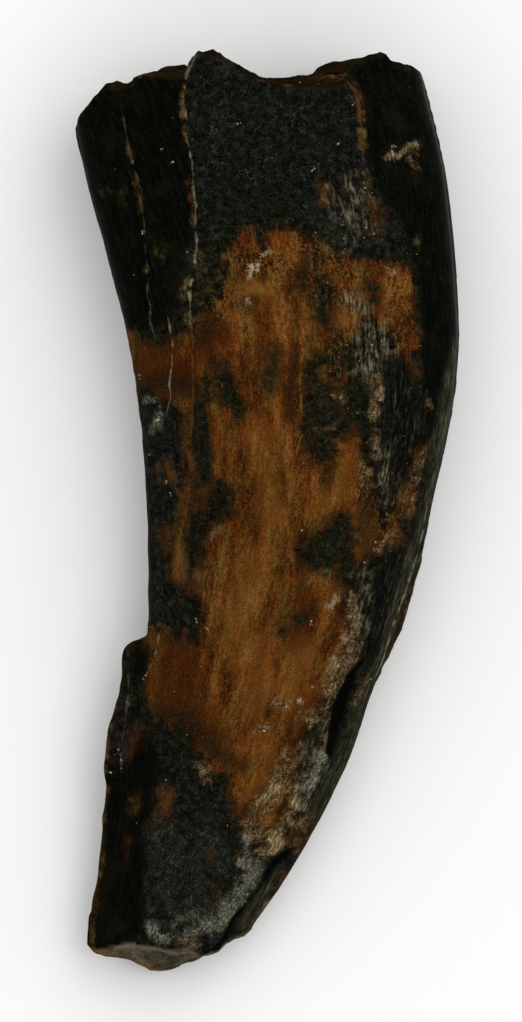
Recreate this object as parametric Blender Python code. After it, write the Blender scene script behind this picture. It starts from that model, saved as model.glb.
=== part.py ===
"""Fossil raptor tooth: one crown, snapped off at its base and at its tip.

It lies on its flatter side. +X runs from the hollow (distal) edge to the bulging (mesial) edge, +Y from the
broken tip to the broken base, and +Z up from the surface that it rests on. The origin is the centre of its
bounding box's footprint. Sizes below are in millimetres; Blender's unit is the metre.
"""

import bmesh
import bpy
import numpy as np
from mathutils import Vector, noise

MM = 0.001

# Driving dimensions, in mm
LENGTH = 18.0
WIDTH = 7.5
REST_FLAT_DEPTH = 0.10  # how much of the underside's bulge is worn to a flat
TIP_LIFT = 0.16  # how far the underside rises clear of the surface at the snapped tip
BASE_LIFT = 0.10  # and at the snapped base
FRACTURE_ROUGHNESS = 0.05

# A station is a height above the lowest point of the snapped tip. An offset is measured across the crown
# from its leftmost point. Both edges run on past the breaks, which cut them off.
HOLLOW_EDGE = [  # (station, offset)
    (-0.8, 0.21), (0.2, 0.22), (0.75, 0.23), (1.1, 0.27), (1.57, 0.37), (2.04, 0.45), (2.5, 0.49),
    (3.2, 0.55), (3.58, 0.59), (3.74, 0.6), (3.9, 0.55), (4.11, 0.55), (4.39, 0.59), (4.85, 0.66),
    (5.32, 0.81), (5.56, 0.88), (5.99, 0.9), (6.22, 0.92), (6.35, 0.98), (6.44, 1.07), (6.51, 1.21),
    (6.58, 1.39), (6.68, 1.42), (7.63, 1.42), (8.6, 1.41), (9.58, 1.37), (10.56, 1.29), (11.53, 1.17),
    (12.51, 1.0), (13.29, 0.8), (14.46, 0.49), (15.64, 0.18), (16.5, 0.0), (18.6, -0.12),
]
BULGING_EDGE = [
    (-0.8, 2.15), (-0.28, 2.58), (0.24, 3.02), (0.93, 3.49), (1.3, 3.76), (1.77, 4.08), (2.35, 4.43),
    (2.94, 4.76), (3.53, 5.06), (4.11, 5.33), (4.7, 5.55), (5.32, 5.74), (5.71, 5.89), (6.07, 6.05),
    (6.44, 6.23), (6.81, 6.41), (7.24, 6.54), (7.73, 6.67), (8.45, 6.84), (9.19, 6.98), (10.36, 7.25),
    (11.63, 7.45), (12.51, 7.5), (13.29, 7.47), (14.0, 7.42), (15.48, 7.26), (16.57, 7.03),
    (17.47, 6.82), (18.6, 6.66),
]
# The mesial ridge stands this far in from the bulging edge, with a bevelled strip outside it
RIDGE_INSET = [
    (-0.8, 0.1), (0.2, 0.16), (0.77, 0.27), (1.38, 0.42), (2.14, 0.48), (2.65, 0.43), (3.25, 0.36),
    (4.19, 0.38), (4.8, 0.33), (5.38, 0.27), (5.64, 0.1), (5.79, 0.04), (6.07, 0.08), (6.46, 0.18),
    (6.85, 0.27), (7.24, 0.25), (7.73, 0.2), (8.31, 0.12), (9.19, 0.06), (9.8, 0.04), (18.6, 0.04),
]
# Drop of that strip from the ridge to the silhouette
RIDGE_DROP = [
    (-0.8, 0.2), (2.1, 0.32), (5.0, 0.3), (5.75, 0.12), (6.9, 0.36), (8.3, 0.25), (9.8, 0.08), (18.6, 0.08),
]
# The keel (carina) along the hollow edge is this wide. It's broken away above the ledge, at station 6.7.
KEEL_WIDTH = [
    (-0.8, 0.1), (0.2, 0.14), (2.0, 0.22), (3.2, 0.33), (3.74, 0.37), (4.39, 0.47), (5.3, 0.43), (5.9, 0.43),
    (6.22, 0.45), (6.38, 0.38), (6.49, 0.26), (6.59, 0.08), (6.71, 0.03), (18.6, 0.03),
]
KEEL_RISE = [(-0.8, 0.1), (3.0, 0.17), (5.9, 0.2), (6.5, 0.14), (6.75, 0.05), (18.6, 0.05)]

# Bulge of the upper and the lower side away from the plane of the two edges
UPPER_BULGE = [
    (-0.8, 0.75), (0.8, 0.88), (2.4, 1.08), (5.3, 1.38), (8.2, 1.62), (11.0, 1.78), (13.5, 1.84), (16.0, 1.8),
    (18.6, 1.68),
]
LOWER_BULGE = [
    (-0.8, 0.7), (0.8, 0.8), (2.4, 0.98), (5.3, 1.2), (8.2, 1.42), (11.0, 1.6), (13.5, 1.7), (16.0, 1.72),
    (18.6, 1.62),
]
# How square the section is on its two halves: low is a blade's edge, high is a round shoulder
HOLLOW_FULLNESS = [(-0.8, 1.35), (3.0, 1.3), (6.4, 1.35), (7.2, 1.55), (12.0, 1.7), (16.0, 1.9), (18.6, 1.95)]
BULGING_FULLNESS = [(-0.8, 1.5), (4.0, 1.45), (8.0, 1.6), (12.0, 2.05), (16.0, 2.35), (18.6, 2.4)]
LOWER_FULLNESS = 2.05
LOWER_KEEL_SHARE = 0.8  # how far the keel's lower flank slopes, against its upper one
# Where the section is highest, as a share of the way from the hollow edge to the ridge
CREST_SHARE = [(-0.8, 0.5), (4.0, 0.52), (9.0, 0.5), (13.0, 0.5), (18.6, 0.52)]

# The breaks, as (offset, station) along the rim of the upper side and of the lower side
BASE_RIM_UPPER = [
    (-0.15, 15.8), (0.02, 16.5), (0.1, 16.73), (0.31, 16.98), (0.61, 17.33), (0.74, 17.36), (1.04, 17.34),
    (1.19, 17.44), (1.35, 17.53), (1.86, 17.51), (2.13, 17.53), (2.21, 17.65), (2.3, 17.84),
    (2.41, 17.97), (2.5, 17.94), (2.7, 18.0), (2.85, 17.88), (3.24, 17.67), (3.46, 17.52),
    (3.65, 17.39), (3.91, 17.32), (4.49, 17.3), (5.08, 17.3), (5.23, 17.34), (5.35, 17.55),
    (5.51, 17.82), (5.82, 17.9), (5.95, 17.96), (6.06, 17.92), (6.15, 17.8), (6.37, 17.72),
    (6.57, 17.69), (6.7, 17.6), (6.77, 17.5), (6.84, 17.28), (6.93, 16.98), (7.25, 16.0),
]
BASE_RIM_LOWER = [
    (-0.15, 15.8), (0.02, 16.5), (0.1, 16.73), (0.31, 16.98), (0.61, 17.33), (0.74, 17.36), (1.07, 17.37),
    (1.35, 17.55), (1.52, 17.57), (1.65, 17.67), (1.86, 17.71), (2.09, 17.68), (2.54, 17.73),
    (2.87, 17.67), (3.24, 17.55), (3.59, 17.47), (3.89, 17.44), (4.2, 17.47), (4.73, 17.56),
    (4.8, 17.68), (4.96, 17.79), (5.29, 17.82), (5.57, 17.87), (6.06, 17.87), (6.15, 17.79),
    (6.37, 17.71), (6.57, 17.69), (6.7, 17.6), (6.77, 17.5), (6.84, 17.28), (6.93, 16.98), (7.25, 16.0),
]
TIP_RIM_UPPER = [
    (-0.15, 0.9), (0.18, 0.62), (0.25, 0.48), (0.35, 0.38), (0.59, 0.46), (0.82, 0.51), (1.07, 0.54),
    (1.48, 0.46), (1.84, 0.41), (2.17, 0.48), (2.34, 0.39), (2.46, 0.31), (2.64, 0.34), (2.79, 0.39),
    (2.91, 0.51), (3.04, 0.6), (3.26, 0.71), (3.46, 0.86), (3.65, 0.8), (4.5, 0.8),
]
TIP_RIM_LOWER = [
    (-0.15, 0.9), (0.18, 0.62), (0.25, 0.47), (0.35, 0.36), (0.59, 0.28), (0.82, 0.26), (1.15, 0.19),
    (1.35, 0.06), (1.58, 0.02), (1.77, 0.0), (1.97, 0.07), (2.17, 0.19), (2.46, 0.28), (2.64, 0.32),
    (2.79, 0.39), (2.91, 0.51), (3.04, 0.6), (3.26, 0.71), (3.46, 0.86), (3.65, 0.8), (4.5, 0.8),
]

# Mesh fineness
RING_STEP = 0.3
LEDGE_STATIONS = (6.1, 6.72)  # the step in the hollow edge, where the rings crowd together
LEDGE_STEP = 0.07
UPPER_SEGMENTS, STRIP_SEGMENTS, LOWER_SEGMENTS = 22, 2, 18
BREAK_COLUMN_STEP = 0.24
BREAK_ROWS = 11

ENAMEL_BROWN = (0.075, 0.032, 0.008, 1.0)


def through(knots):
    """A smooth curve through (place, value) knots that doesn't overshoot between them."""
    places, values = np.array(knots, float).T
    steps = np.diff(places)
    slopes = np.diff(values) / steps
    tangents = np.concatenate([slopes[:1], np.zeros(len(slopes) - 1), slopes[-1:]])
    for i in range(1, len(slopes)):
        if slopes[i - 1] * slopes[i] > 0:
            tangents[i] = 2 / (1 / slopes[i - 1] + 1 / slopes[i])

    def value(place):
        i = np.clip(np.searchsorted(places, place) - 1, 0, len(steps) - 1)
        t = (place - places[i]) / steps[i]
        rise = values[i + 1] - values[i]
        start, end = tangents[i] * steps[i], tangents[i + 1] * steps[i]
        return float(values[i] + t * (start + t * (3 * rise - 2 * start - end + t * (start + end - 2 * rise))))

    return value


hollow_edge, bulging_edge = through(HOLLOW_EDGE), through(BULGING_EDGE)
ridge_inset, ridge_drop = through(RIDGE_INSET), through(RIDGE_DROP)
keel_width, keel_rise = through(KEEL_WIDTH), through(KEEL_RISE)
upper_bulge, lower_bulge = through(UPPER_BULGE), through(LOWER_BULGE)
hollow_fullness, bulging_fullness = through(HOLLOW_FULLNESS), through(BULGING_FULLNESS)
crest_share = through(CREST_SHARE)


def dome(share, crest, left_fullness, right_fullness):
    """Height of a section, from 0 at its edges to 1 at its crest, at a share of the way across."""
    left = share < crest
    reach = (crest - share) / crest if left else (share - crest) / (1 - crest)
    fullness = left_fullness if left else right_fullness
    return max(0.0, 1 - reach**2.1) ** (1.1 / fullness)


def edge_height(station):
    """Height of the plane of the two edges above the surface that the tooth rests on."""
    lift = TIP_LIFT * max(0.0, 1 - station / 3.0) ** 2 + BASE_LIFT * max(0.0, (station - 15.5) / 2.5) ** 2
    return lower_bulge(station) - REST_FLAT_DEPTH + lift


def section(station):
    """One ring of (offset, height) points: up the keel, over the crown, down the bevel, and back underneath."""
    left, right, middle = hollow_edge(station), bulging_edge(station), edge_height(station)
    ridge, drop = right - ridge_inset(station), ridge_drop(station)
    body, rise = left + keel_width(station), keel_rise(station)
    ring = []
    for i in range(STRIP_SEGMENTS):
        share = i / STRIP_SEGMENTS
        ring.append((left + (body - left) * share, middle + rise * share))
    for i in range(UPPER_SEGMENTS):
        share = (1 - np.cos(np.pi * i / UPPER_SEGMENTS)) / 2
        form = dome(share, crest_share(station), hollow_fullness(station), bulging_fullness(station))
        ends = rise * (1 - share) ** 8 + drop * share**8
        ring.append((body + (ridge - body) * share, middle + ends + upper_bulge(station) * form))
    for i in range(STRIP_SEGMENTS):
        share = i / STRIP_SEGMENTS
        bow = 0.25 * (right - ridge) * np.sin(np.pi * share)
        ring.append((ridge + (right - ridge) * share + bow, middle + drop * (1 - share)))
    for i in range(LOWER_SEGMENTS):
        share = (1 + np.cos(np.pi * i / LOWER_SEGMENTS)) / 2
        form = dome(share, 0.5, LOWER_FULLNESS, LOWER_FULLNESS)
        ends = LOWER_KEEL_SHARE * rise * (1 - share) ** 8
        ring.append((body + (right - body) * share, middle - ends - lower_bulge(station) * form))
    for i in range(STRIP_SEGMENTS):
        share = 1 - i / STRIP_SEGMENTS
        ring.append((left + (body - left) * share, middle - LOWER_KEEL_SHARE * rise * share))
    return ring


def placed(offset, station, height):
    """A point of the row frame, in metres, from an offset, a station and a height in mm."""
    return Vector((offset - WIDTH / 2, station - LENGTH / 2, height)) * MM


def ring_stations():
    low, high = LEDGE_STATIONS
    below = np.arange(low - RING_STEP, -0.7, -RING_STEP)[::-1]
    ledge = np.arange(low, high, LEDGE_STEP)
    above = np.arange(high, LENGTH + 0.5, RING_STEP)
    return [*below, *ledge, *above]


def mesh_object(name, bm):
    """The finished bmesh as an object, with its faces turned outwards."""
    bmesh.ops.recalc_face_normals(bm, faces=bm.faces)
    mesh = bpy.data.meshes.new(name)
    bm.to_mesh(mesh)
    bm.free()
    made = bpy.data.objects.new(name, mesh)
    bpy.context.scene.collection.objects.link(made)
    return made


def crown():
    """The whole crown as a loft of rings, running a little past both breaks."""
    bm = bmesh.new()
    rings = []
    for station in ring_stations():
        rings.append([bm.verts.new(placed(x, station, z)) for x, z in section(station)])
    for low, high in zip(rings, rings[1:]):
        for i, corner in enumerate(low):
            bm.faces.new((low[i - 1], corner, high[i], high[i - 1]))
    bm.faces.new(rings[0])
    bm.faces.new(rings[-1])
    return mesh_object("tooth", bm)


def fracture_height(station, offset, height):
    """The fracture's own roughness: broad conchoidal waves with a finer splintering on them."""
    broad = noise.noise(Vector((offset * 0.9, height * 1.3, station)))
    fine = noise.noise(Vector((offset * 2.6, height * 3.1, station + 7.0)))
    return FRACTURE_ROUGHNESS * (1.6 * broad + fine)


def break_cutter(name, upper_rim, lower_rim, low_height, high_height, far_station):
    """Everything beyond a break. Its near face runs from the lower rim up to the upper rim."""
    upper, lower = through(upper_rim), through(lower_rim)
    first, last = upper_rim[0][0], upper_rim[-1][0]
    knots = {offset for offset, _ in upper_rim}
    fill = [x for x in np.arange(first, last, BREAK_COLUMN_STEP) if min(abs(x - k) for k in knots) > 0.12]
    offsets = sorted([*knots, *fill])
    heights = [-0.6, *np.linspace(low_height, high_height, BREAK_ROWS), 4.6]
    bm = bmesh.new()
    columns = []
    for x in offsets:
        column = []
        for z in heights:
            share = np.clip((z - low_height) / (high_height - low_height), 0, 1)
            share = share * share * (3 - 2 * share)
            station = lower(x) + (upper(x) - lower(x)) * share
            inside = np.sin(np.pi * share)
            station += fracture_height(far_station, x, z) * inside
            column.append(bm.verts.new(placed(x, station, z)))
        columns.append(column)
    near = []
    for left, right in zip(columns, columns[1:]):
        for i in range(len(heights) - 1):
            near.append(bm.faces.new((left[i], right[i], right[i + 1], left[i + 1])))
    swept = bmesh.ops.extrude_face_region(bm, geom=near)
    far = placed(0, far_station, 0).y
    for item in swept["geom"]:
        if isinstance(item, bmesh.types.BMVert):
            item.co.y = far
    return mesh_object(name, bm)


def rest_cutter():
    """A slab whose top is the surface that the tooth rests on."""
    bm = bmesh.new()
    made = bmesh.ops.create_cube(bm, size=2 * LENGTH * MM)
    bmesh.ops.translate(bm, vec=(0, 0, -LENGTH * MM), verts=made["verts"])
    return mesh_object("rest_cutter", bm)


def cut(body, cutter):
    cutter.hide_render = True
    cutter.display_type = "WIRE"
    modifier = body.modifiers.new(cutter.name, "BOOLEAN")
    modifier.operation = "DIFFERENCE"
    modifier.object = cutter


def enamel():
    made = bpy.data.materials.new("fossil_enamel")
    made.use_nodes = True
    shader = made.node_tree.nodes["Principled BSDF"]
    shader.inputs["Base Color"].default_value = ENAMEL_BROWN
    shader.inputs["Roughness"].default_value = 0.4
    shader.inputs["Metallic"].default_value = 0.0
    return made


def main():
    for old in list(bpy.data.objects):
        bpy.data.objects.remove(old)
    tooth = crown()
    tooth.data.materials.append(enamel())
    tooth.data.shade_smooth()
    tooth.data.set_sharp_from_angle(angle=np.radians(35))
    cut(tooth, break_cutter("base_break", BASE_RIM_UPPER, BASE_RIM_LOWER, 0.9, 2.9, LENGTH + 2))
    cut(tooth, break_cutter("tip_break", TIP_RIM_UPPER, TIP_RIM_LOWER, 0.25, 1.3, -2))
    cut(tooth, rest_cutter())


main()
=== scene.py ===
"""Fossil raptor tooth: the finished surface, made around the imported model.

Pieces are worked in millimetres and brought to metres when they are finished. +X points across the tooth
from its hollow edge to its bulging edge, +Y from its broken tip to its broken base, and +Z up, away from the
surface that it lies on. Marks are set as seen from above, in millimetres: a line is a list of (x, y) stops,
an outline is a closed line, and a stroke is a list of (x, y, radius) stops.
"""

import bmesh
import bpy
import numpy as np
from mathutils import Matrix, Vector
from mathutils.bvhtree import BVHTree


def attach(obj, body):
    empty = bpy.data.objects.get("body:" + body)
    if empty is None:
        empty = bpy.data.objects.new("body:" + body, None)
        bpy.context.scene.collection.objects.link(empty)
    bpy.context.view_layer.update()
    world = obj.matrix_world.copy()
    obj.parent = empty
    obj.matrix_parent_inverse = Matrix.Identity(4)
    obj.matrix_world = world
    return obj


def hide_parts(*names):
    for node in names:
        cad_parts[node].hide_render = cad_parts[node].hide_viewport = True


MM = 0.001
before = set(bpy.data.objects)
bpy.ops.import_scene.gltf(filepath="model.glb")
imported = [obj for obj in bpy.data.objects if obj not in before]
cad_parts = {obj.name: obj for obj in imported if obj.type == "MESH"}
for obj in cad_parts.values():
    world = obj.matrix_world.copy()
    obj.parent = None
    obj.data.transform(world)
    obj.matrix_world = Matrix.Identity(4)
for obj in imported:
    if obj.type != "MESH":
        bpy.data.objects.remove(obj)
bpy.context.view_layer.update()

# ---------------------------------------------------------------- sizes, in mm

GRID_DEPTH = 9  # the skin's grid has two to this power of cells along the tooth
GRID_SHARE = 0.58  # of which the tooth fills this share: as fine as keeps the skin under 200,000 triangles
MERGE_DISTANCE = 0.002
FACET_SMOOTHING = 90  # passes: enough to melt the model's 0.3 mm facets
SHARP_TURN = 20.0  # degrees between neighbouring normals, from which a corner is kept sharp
RIM_SPREAD = 4  # passes that carry a rim's calm, about one cell each, in over the surface beside it
SIDE_SMOOTHING = 2  # passes over the normals that tell the upper side from the underside
RELIEF_SMOOTHING = 12  # and over those that the relief moves along, so that it doesn't fan out at small bumps
BASE_FROM, MIDDLE, TIP_FROM = 6.8, -0.4, -7.6  # the y that each break lies beyond, and midway between them
FIBRE_SPAN = 6  # the fibres' own x runs from 0 at the hollow edge to this at the bulging one
WANDER = 0.06  # how far the edge of a mark strays from its stroke
NEAT = 0.15  # and the share of that by which a fine mark's does
FARTHEST = 0.8  # marks are told no further in or out than this
CRACK_DEPTH = 0.025
CRACK_HALF_WIDTH = 0.09
CRACK_FLOOR = 0.3  # a crack is at its deepest over this share of its half width
GROOVE_DEPTH = 0.14
HOLLOW_DEPTH = 0.05
WORN_DEPTH = 0.02  # how far the brown lies below the black that is gone from it
LIFTED_FLAKE = 0.07  # how far the enamel right of the flake crack stands proud
FLAKE_REACH = (1.4, 0.1)  # the distances from that crack where the flake ends and where it's at its highest
FLAKE_FROM = (4.4, 6.4)  # and the y from which it begins to lift and is fully lifted
CRUST_THICKNESS = 0.03
CRUST_SIZE = 0.2  # each of the sizes is that of one kind of relief's largest bumps
CREASE_HEIGHT = 0.025
CREASE_SIZE = 0.26
FIBRE_HEIGHT = 0.01
FIBRE_SIZE = (0.16, 0.8, 0.4)  # across the fibres, along them and through them
FRAY_SIZE = 0.2  # the brown's unevenness between its fibres
SCOUR_HEIGHT = 0.02
SCOUR_SIZE = (0.14, 0.5, 0.4)
SWELL_HEIGHT = 0.03  # the whole tooth's broad unevenness
SWELL_SIZE = 1.6
BREAK_HEIGHT = 0.045
BREAK_SIZE = 0.5
RUBBLE_SIZE = 0.2  # the finer lumps on a break
SOFT_EDGE = 0.1  # a mark's relief fades in over this far on both sides of its edge
CHIPS_PER_STROKE = 6
CHIP_RADII = (0.008, 0.03)
GRAIN_COUNT = 300
GRAIN_RADII = (0.006, 0.024)
GRAIN_FLATNESS = 0.6
PICK_SEED, TURN_SEED = 7, 4

# ---------------------------------------------------------------- marks on the upper side

BROWN_OUTLINE = [  # where the black outer enamel is worn through to brown
    (-0.68, 5.13), (-0.45, 5.35), (-0.25, 5.5), (-0.18, 5.2), (-0.04, 5.07), (0.08, 5.4), (0.33, 5.5),
    (0.64, 5.43), (1.23, 5.11), (1.66, 4.84), (2.05, 4.92), (2.44, 4.84), (2.7, 4.72), (2.8, 4.45),
    (2.83, 3.9), (2.84, 3.3), (2.72, 3.0), (2.52, 3.15), (2.34, 3.47), (2.05, 3.75), (1.74, 3.7),
    (1.62, 3.32), (1.54, 2.73), (1.66, 2.14), (1.86, 1.36), (2.03, 0.58), (2.27, 0.0), (2.33, -0.45),
    (2.15, -0.75), (1.7, -1.02), (1.52, -1.37), (1.5, -2.54), (1.38, -3.0), (1.15, -3.55), (0.85, -4.0),
    (0.6, -4.5), (0.5, -5.18), (0.3, -5.9), (0.0, -6.3), (-0.37, -6.06), (-0.49, -5.67), (-0.65, -5.15),
    (-1.1, -5.05), (-1.2, -4.85), (-1.45, -4.5), (-1.6, -4.15), (-2.0, -4.07), (-2.25, -3.85),
    (-2.36, -3.42), (-2.29, -3.09), (-2.2, -2.7), (-2.2, -2.45), (-2.0, -2.25), (-1.8, -2.5), (-1.6, -2.35),
    (-1.4, -2.58), (-1.26, -2.36), (-1.14, -2.1), (-1.24, -1.67), (-1.13, -1.08), (-1.21, -0.75),
    (-1.05, -0.2), (-0.76, -0.04), (-0.68, 0.39), (-1.11, 0.78), (-1.15, 1.36), (-1.12, 1.95), (-1.2, 2.12),
    (-1.34, 2.25), (-1.45, 2.05), (-1.6, 1.9), (-1.7, 2.15), (-1.85, 2.3), (-1.98, 2.12), (-2.12, 2.3),
    (-2.35, 2.45), (-2.7, 2.6), (-2.9, 3.56), (-2.45, 3.42), (-2.2, 3.3), (-1.95, 3.42), (-1.5, 3.55),
    (-1.37, 3.92), (-0.88, 4.16), (-0.74, 4.55), (-0.76, 4.92),
]
BLACK_STAINS = [  # black left inside the brown
    [(-0.82, 2.58, 0.22), (-0.62, 2.15, 0.2), (-0.58, 1.9, 0.1)], [(-1.08, 2.5, 0.12), (-1.2, 2.2, 0.11)],
    [(2.0, 4.36, 0.08), (2.1, 4.08, 0.06)], [(0.7, 4.62, 0.08), (0.72, 4.3, 0.12)],
    [(1.04, 4.49, 0.1), (1.15, 4.25, 0.14)], [(1.07, 3.94, 0.08), (1.04, 3.7, 0.11)],
    [(1.52, 3.15, 0.14), (1.25, 3.0, 0.18)], [(0.9, 3.0, 0.13), (0.86, 2.4, 0.13), (0.85, 1.6, 0.22)],
    [(1.0, 2.0, 0.26), (1.25, 1.72, 0.32)], [(1.62, 2.35, 0.16), (1.75, 1.9, 0.18)],
    [(1.2, 2.42, 0.1), (1.34, 2.7, 0.12)], [(1.0, 1.3, 0.24), (1.15, 1.0, 0.14)],
    [(1.5, -0.25, 0.26), (1.2, -0.75, 0.42), (0.88, -0.85, 0.3)], [(1.5, -0.7, 0.22), (1.52, -1.25, 0.18)],
    [(0.72, -0.55, 0.1), (0.66, -0.95, 0.13)], [(1.66, -1.08, 0.16), (1.74, -1.57, 0.12)],
    [(-0.8, 0.38, 0.18), (-0.98, 0.05, 0.2)], [(-0.8, 0.05, 0.1)],
    [(-1.33, -0.4, 0.11), (-1.36, -0.72, 0.12)],
    [(-1.33, 2.1, 0.05), (-1.3, 1.6, 0.13), (-1.27, 1.0, 0.12), (-1.3, 0.65, 0.06)],
    [(0.59, -2.1, 0.09), (0.47, -2.11, 0.07)], [(0.33, -2.31, 0.06)], [(0.06, -3.97, 0.07)],
    [(2.17, 0.62, 0.14), (2.21, 0.15, 0.14)], [(-2.58, -2.85, 0.13), (-2.54, -3.3, 0.09)],
]
CRUST = [  # dull tan mineral left on the enamel
    [(1.64, -1.65, 0.08), (1.68, -2.25, 0.13), (1.58, -2.85, 0.13)],
    [(1.42, -2.95, 0.12), (1.31, -3.35, 0.13), (1.12, -3.7, 0.11)], [(1.0, -3.85, 0.1), (0.74, -4.07, 0.1)],
    [(0.62, -4.55, 0.06), (0.52, -5.0, 0.08), (0.55, -5.45, 0.12)],
    [(0.42, -4.73, 0.1), (0.25, -5.2, 0.16), (0.12, -5.6, 0.14), (-0.1, -6.0, 0.08)],
    [(0.62, -5.5, 0.1), (0.45, -6.06, 0.1)], [(0.92, -5.85, 0.0), (0.72, -6.15, 0.03), (0.52, -6.5, 0.03)],
    [(0.2, -6.33, 0.2), (0.0, -6.6, 0.16)], [(-0.24, -5.65, 0.06), (-0.3, -6.1, 0.1), (-0.22, -6.4, 0.12)],
    [(-1.4, -8.45, 0.1), (-1.7, -8.4, 0.08)], [(-0.61, -6.72, 0.05), (-0.53, -6.88, 0.07)],
    [(2.08, 2.6, 0.07), (2.14, 2.2, 0.12), (2.08, 1.9, 0.07)],
    [(2.12, 1.75, 0.04), (2.1, 1.45, 0.07), (2.13, 1.15, 0.05)],
    [(-1.31, -4.97, 0.06), (-1.16, -5.22, 0.04)], [(-1.04, -0.28, 0.06), (-1.05, -0.4, 0.05)],
    [(1.89, 0.85, 0.06), (1.91, 0.58, 0.06)], [(2.2, -0.62, 0.05), (2.12, -0.74, 0.05)],
    [(2.42, -0.57, 0.07)], [(2.82, 0.76, 0.0), (2.93, 0.94, 0.02)], [(2.9, 0.6, 0.0), (2.95, 0.7, 0.02)],
    [(2.86, 0.25, 0.0), (2.84, 0.05, 0.01)], [(3.14, 2.1, 0.02), (3.2, 2.0, 0.02)],
    [(3.1, 1.1, 0.0), (3.0, 1.25, 0.02)], [(0.88, 4.76, 0.05)], [(2.4, 4.72, 0.07)],
    [(1.38, 2.28, 0.03), (1.5, 2.2, 0.05)], [(0.92, 1.66, 0.025), (1.25, 1.67, 0.03)],
    [(-1.63, 4.35, 0.03)], [(-1.52, 3.85, 0.03), (-1.5, 3.65, 0.04)],
    [(-0.4, 4.12, 0.07), (-0.55, 4.05, 0.04)], [(0.35, -3.75, 0.05), (0.15, -3.8, 0.04)],
    [(0.0, -4.22, 0.06), (-0.25, -4.28, 0.05)], [(1.95, -3.25, 0.05), (1.72, -3.75, 0.05)],
    [(2.68, 7.03, 0.03), (2.86, 7.05, 0.05), (2.93, 7.1, 0.03)],
    [(2.78, 6.95, 0.02), (2.83, 6.78, 0.03), (2.92, 6.63, 0.02)],
]
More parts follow.
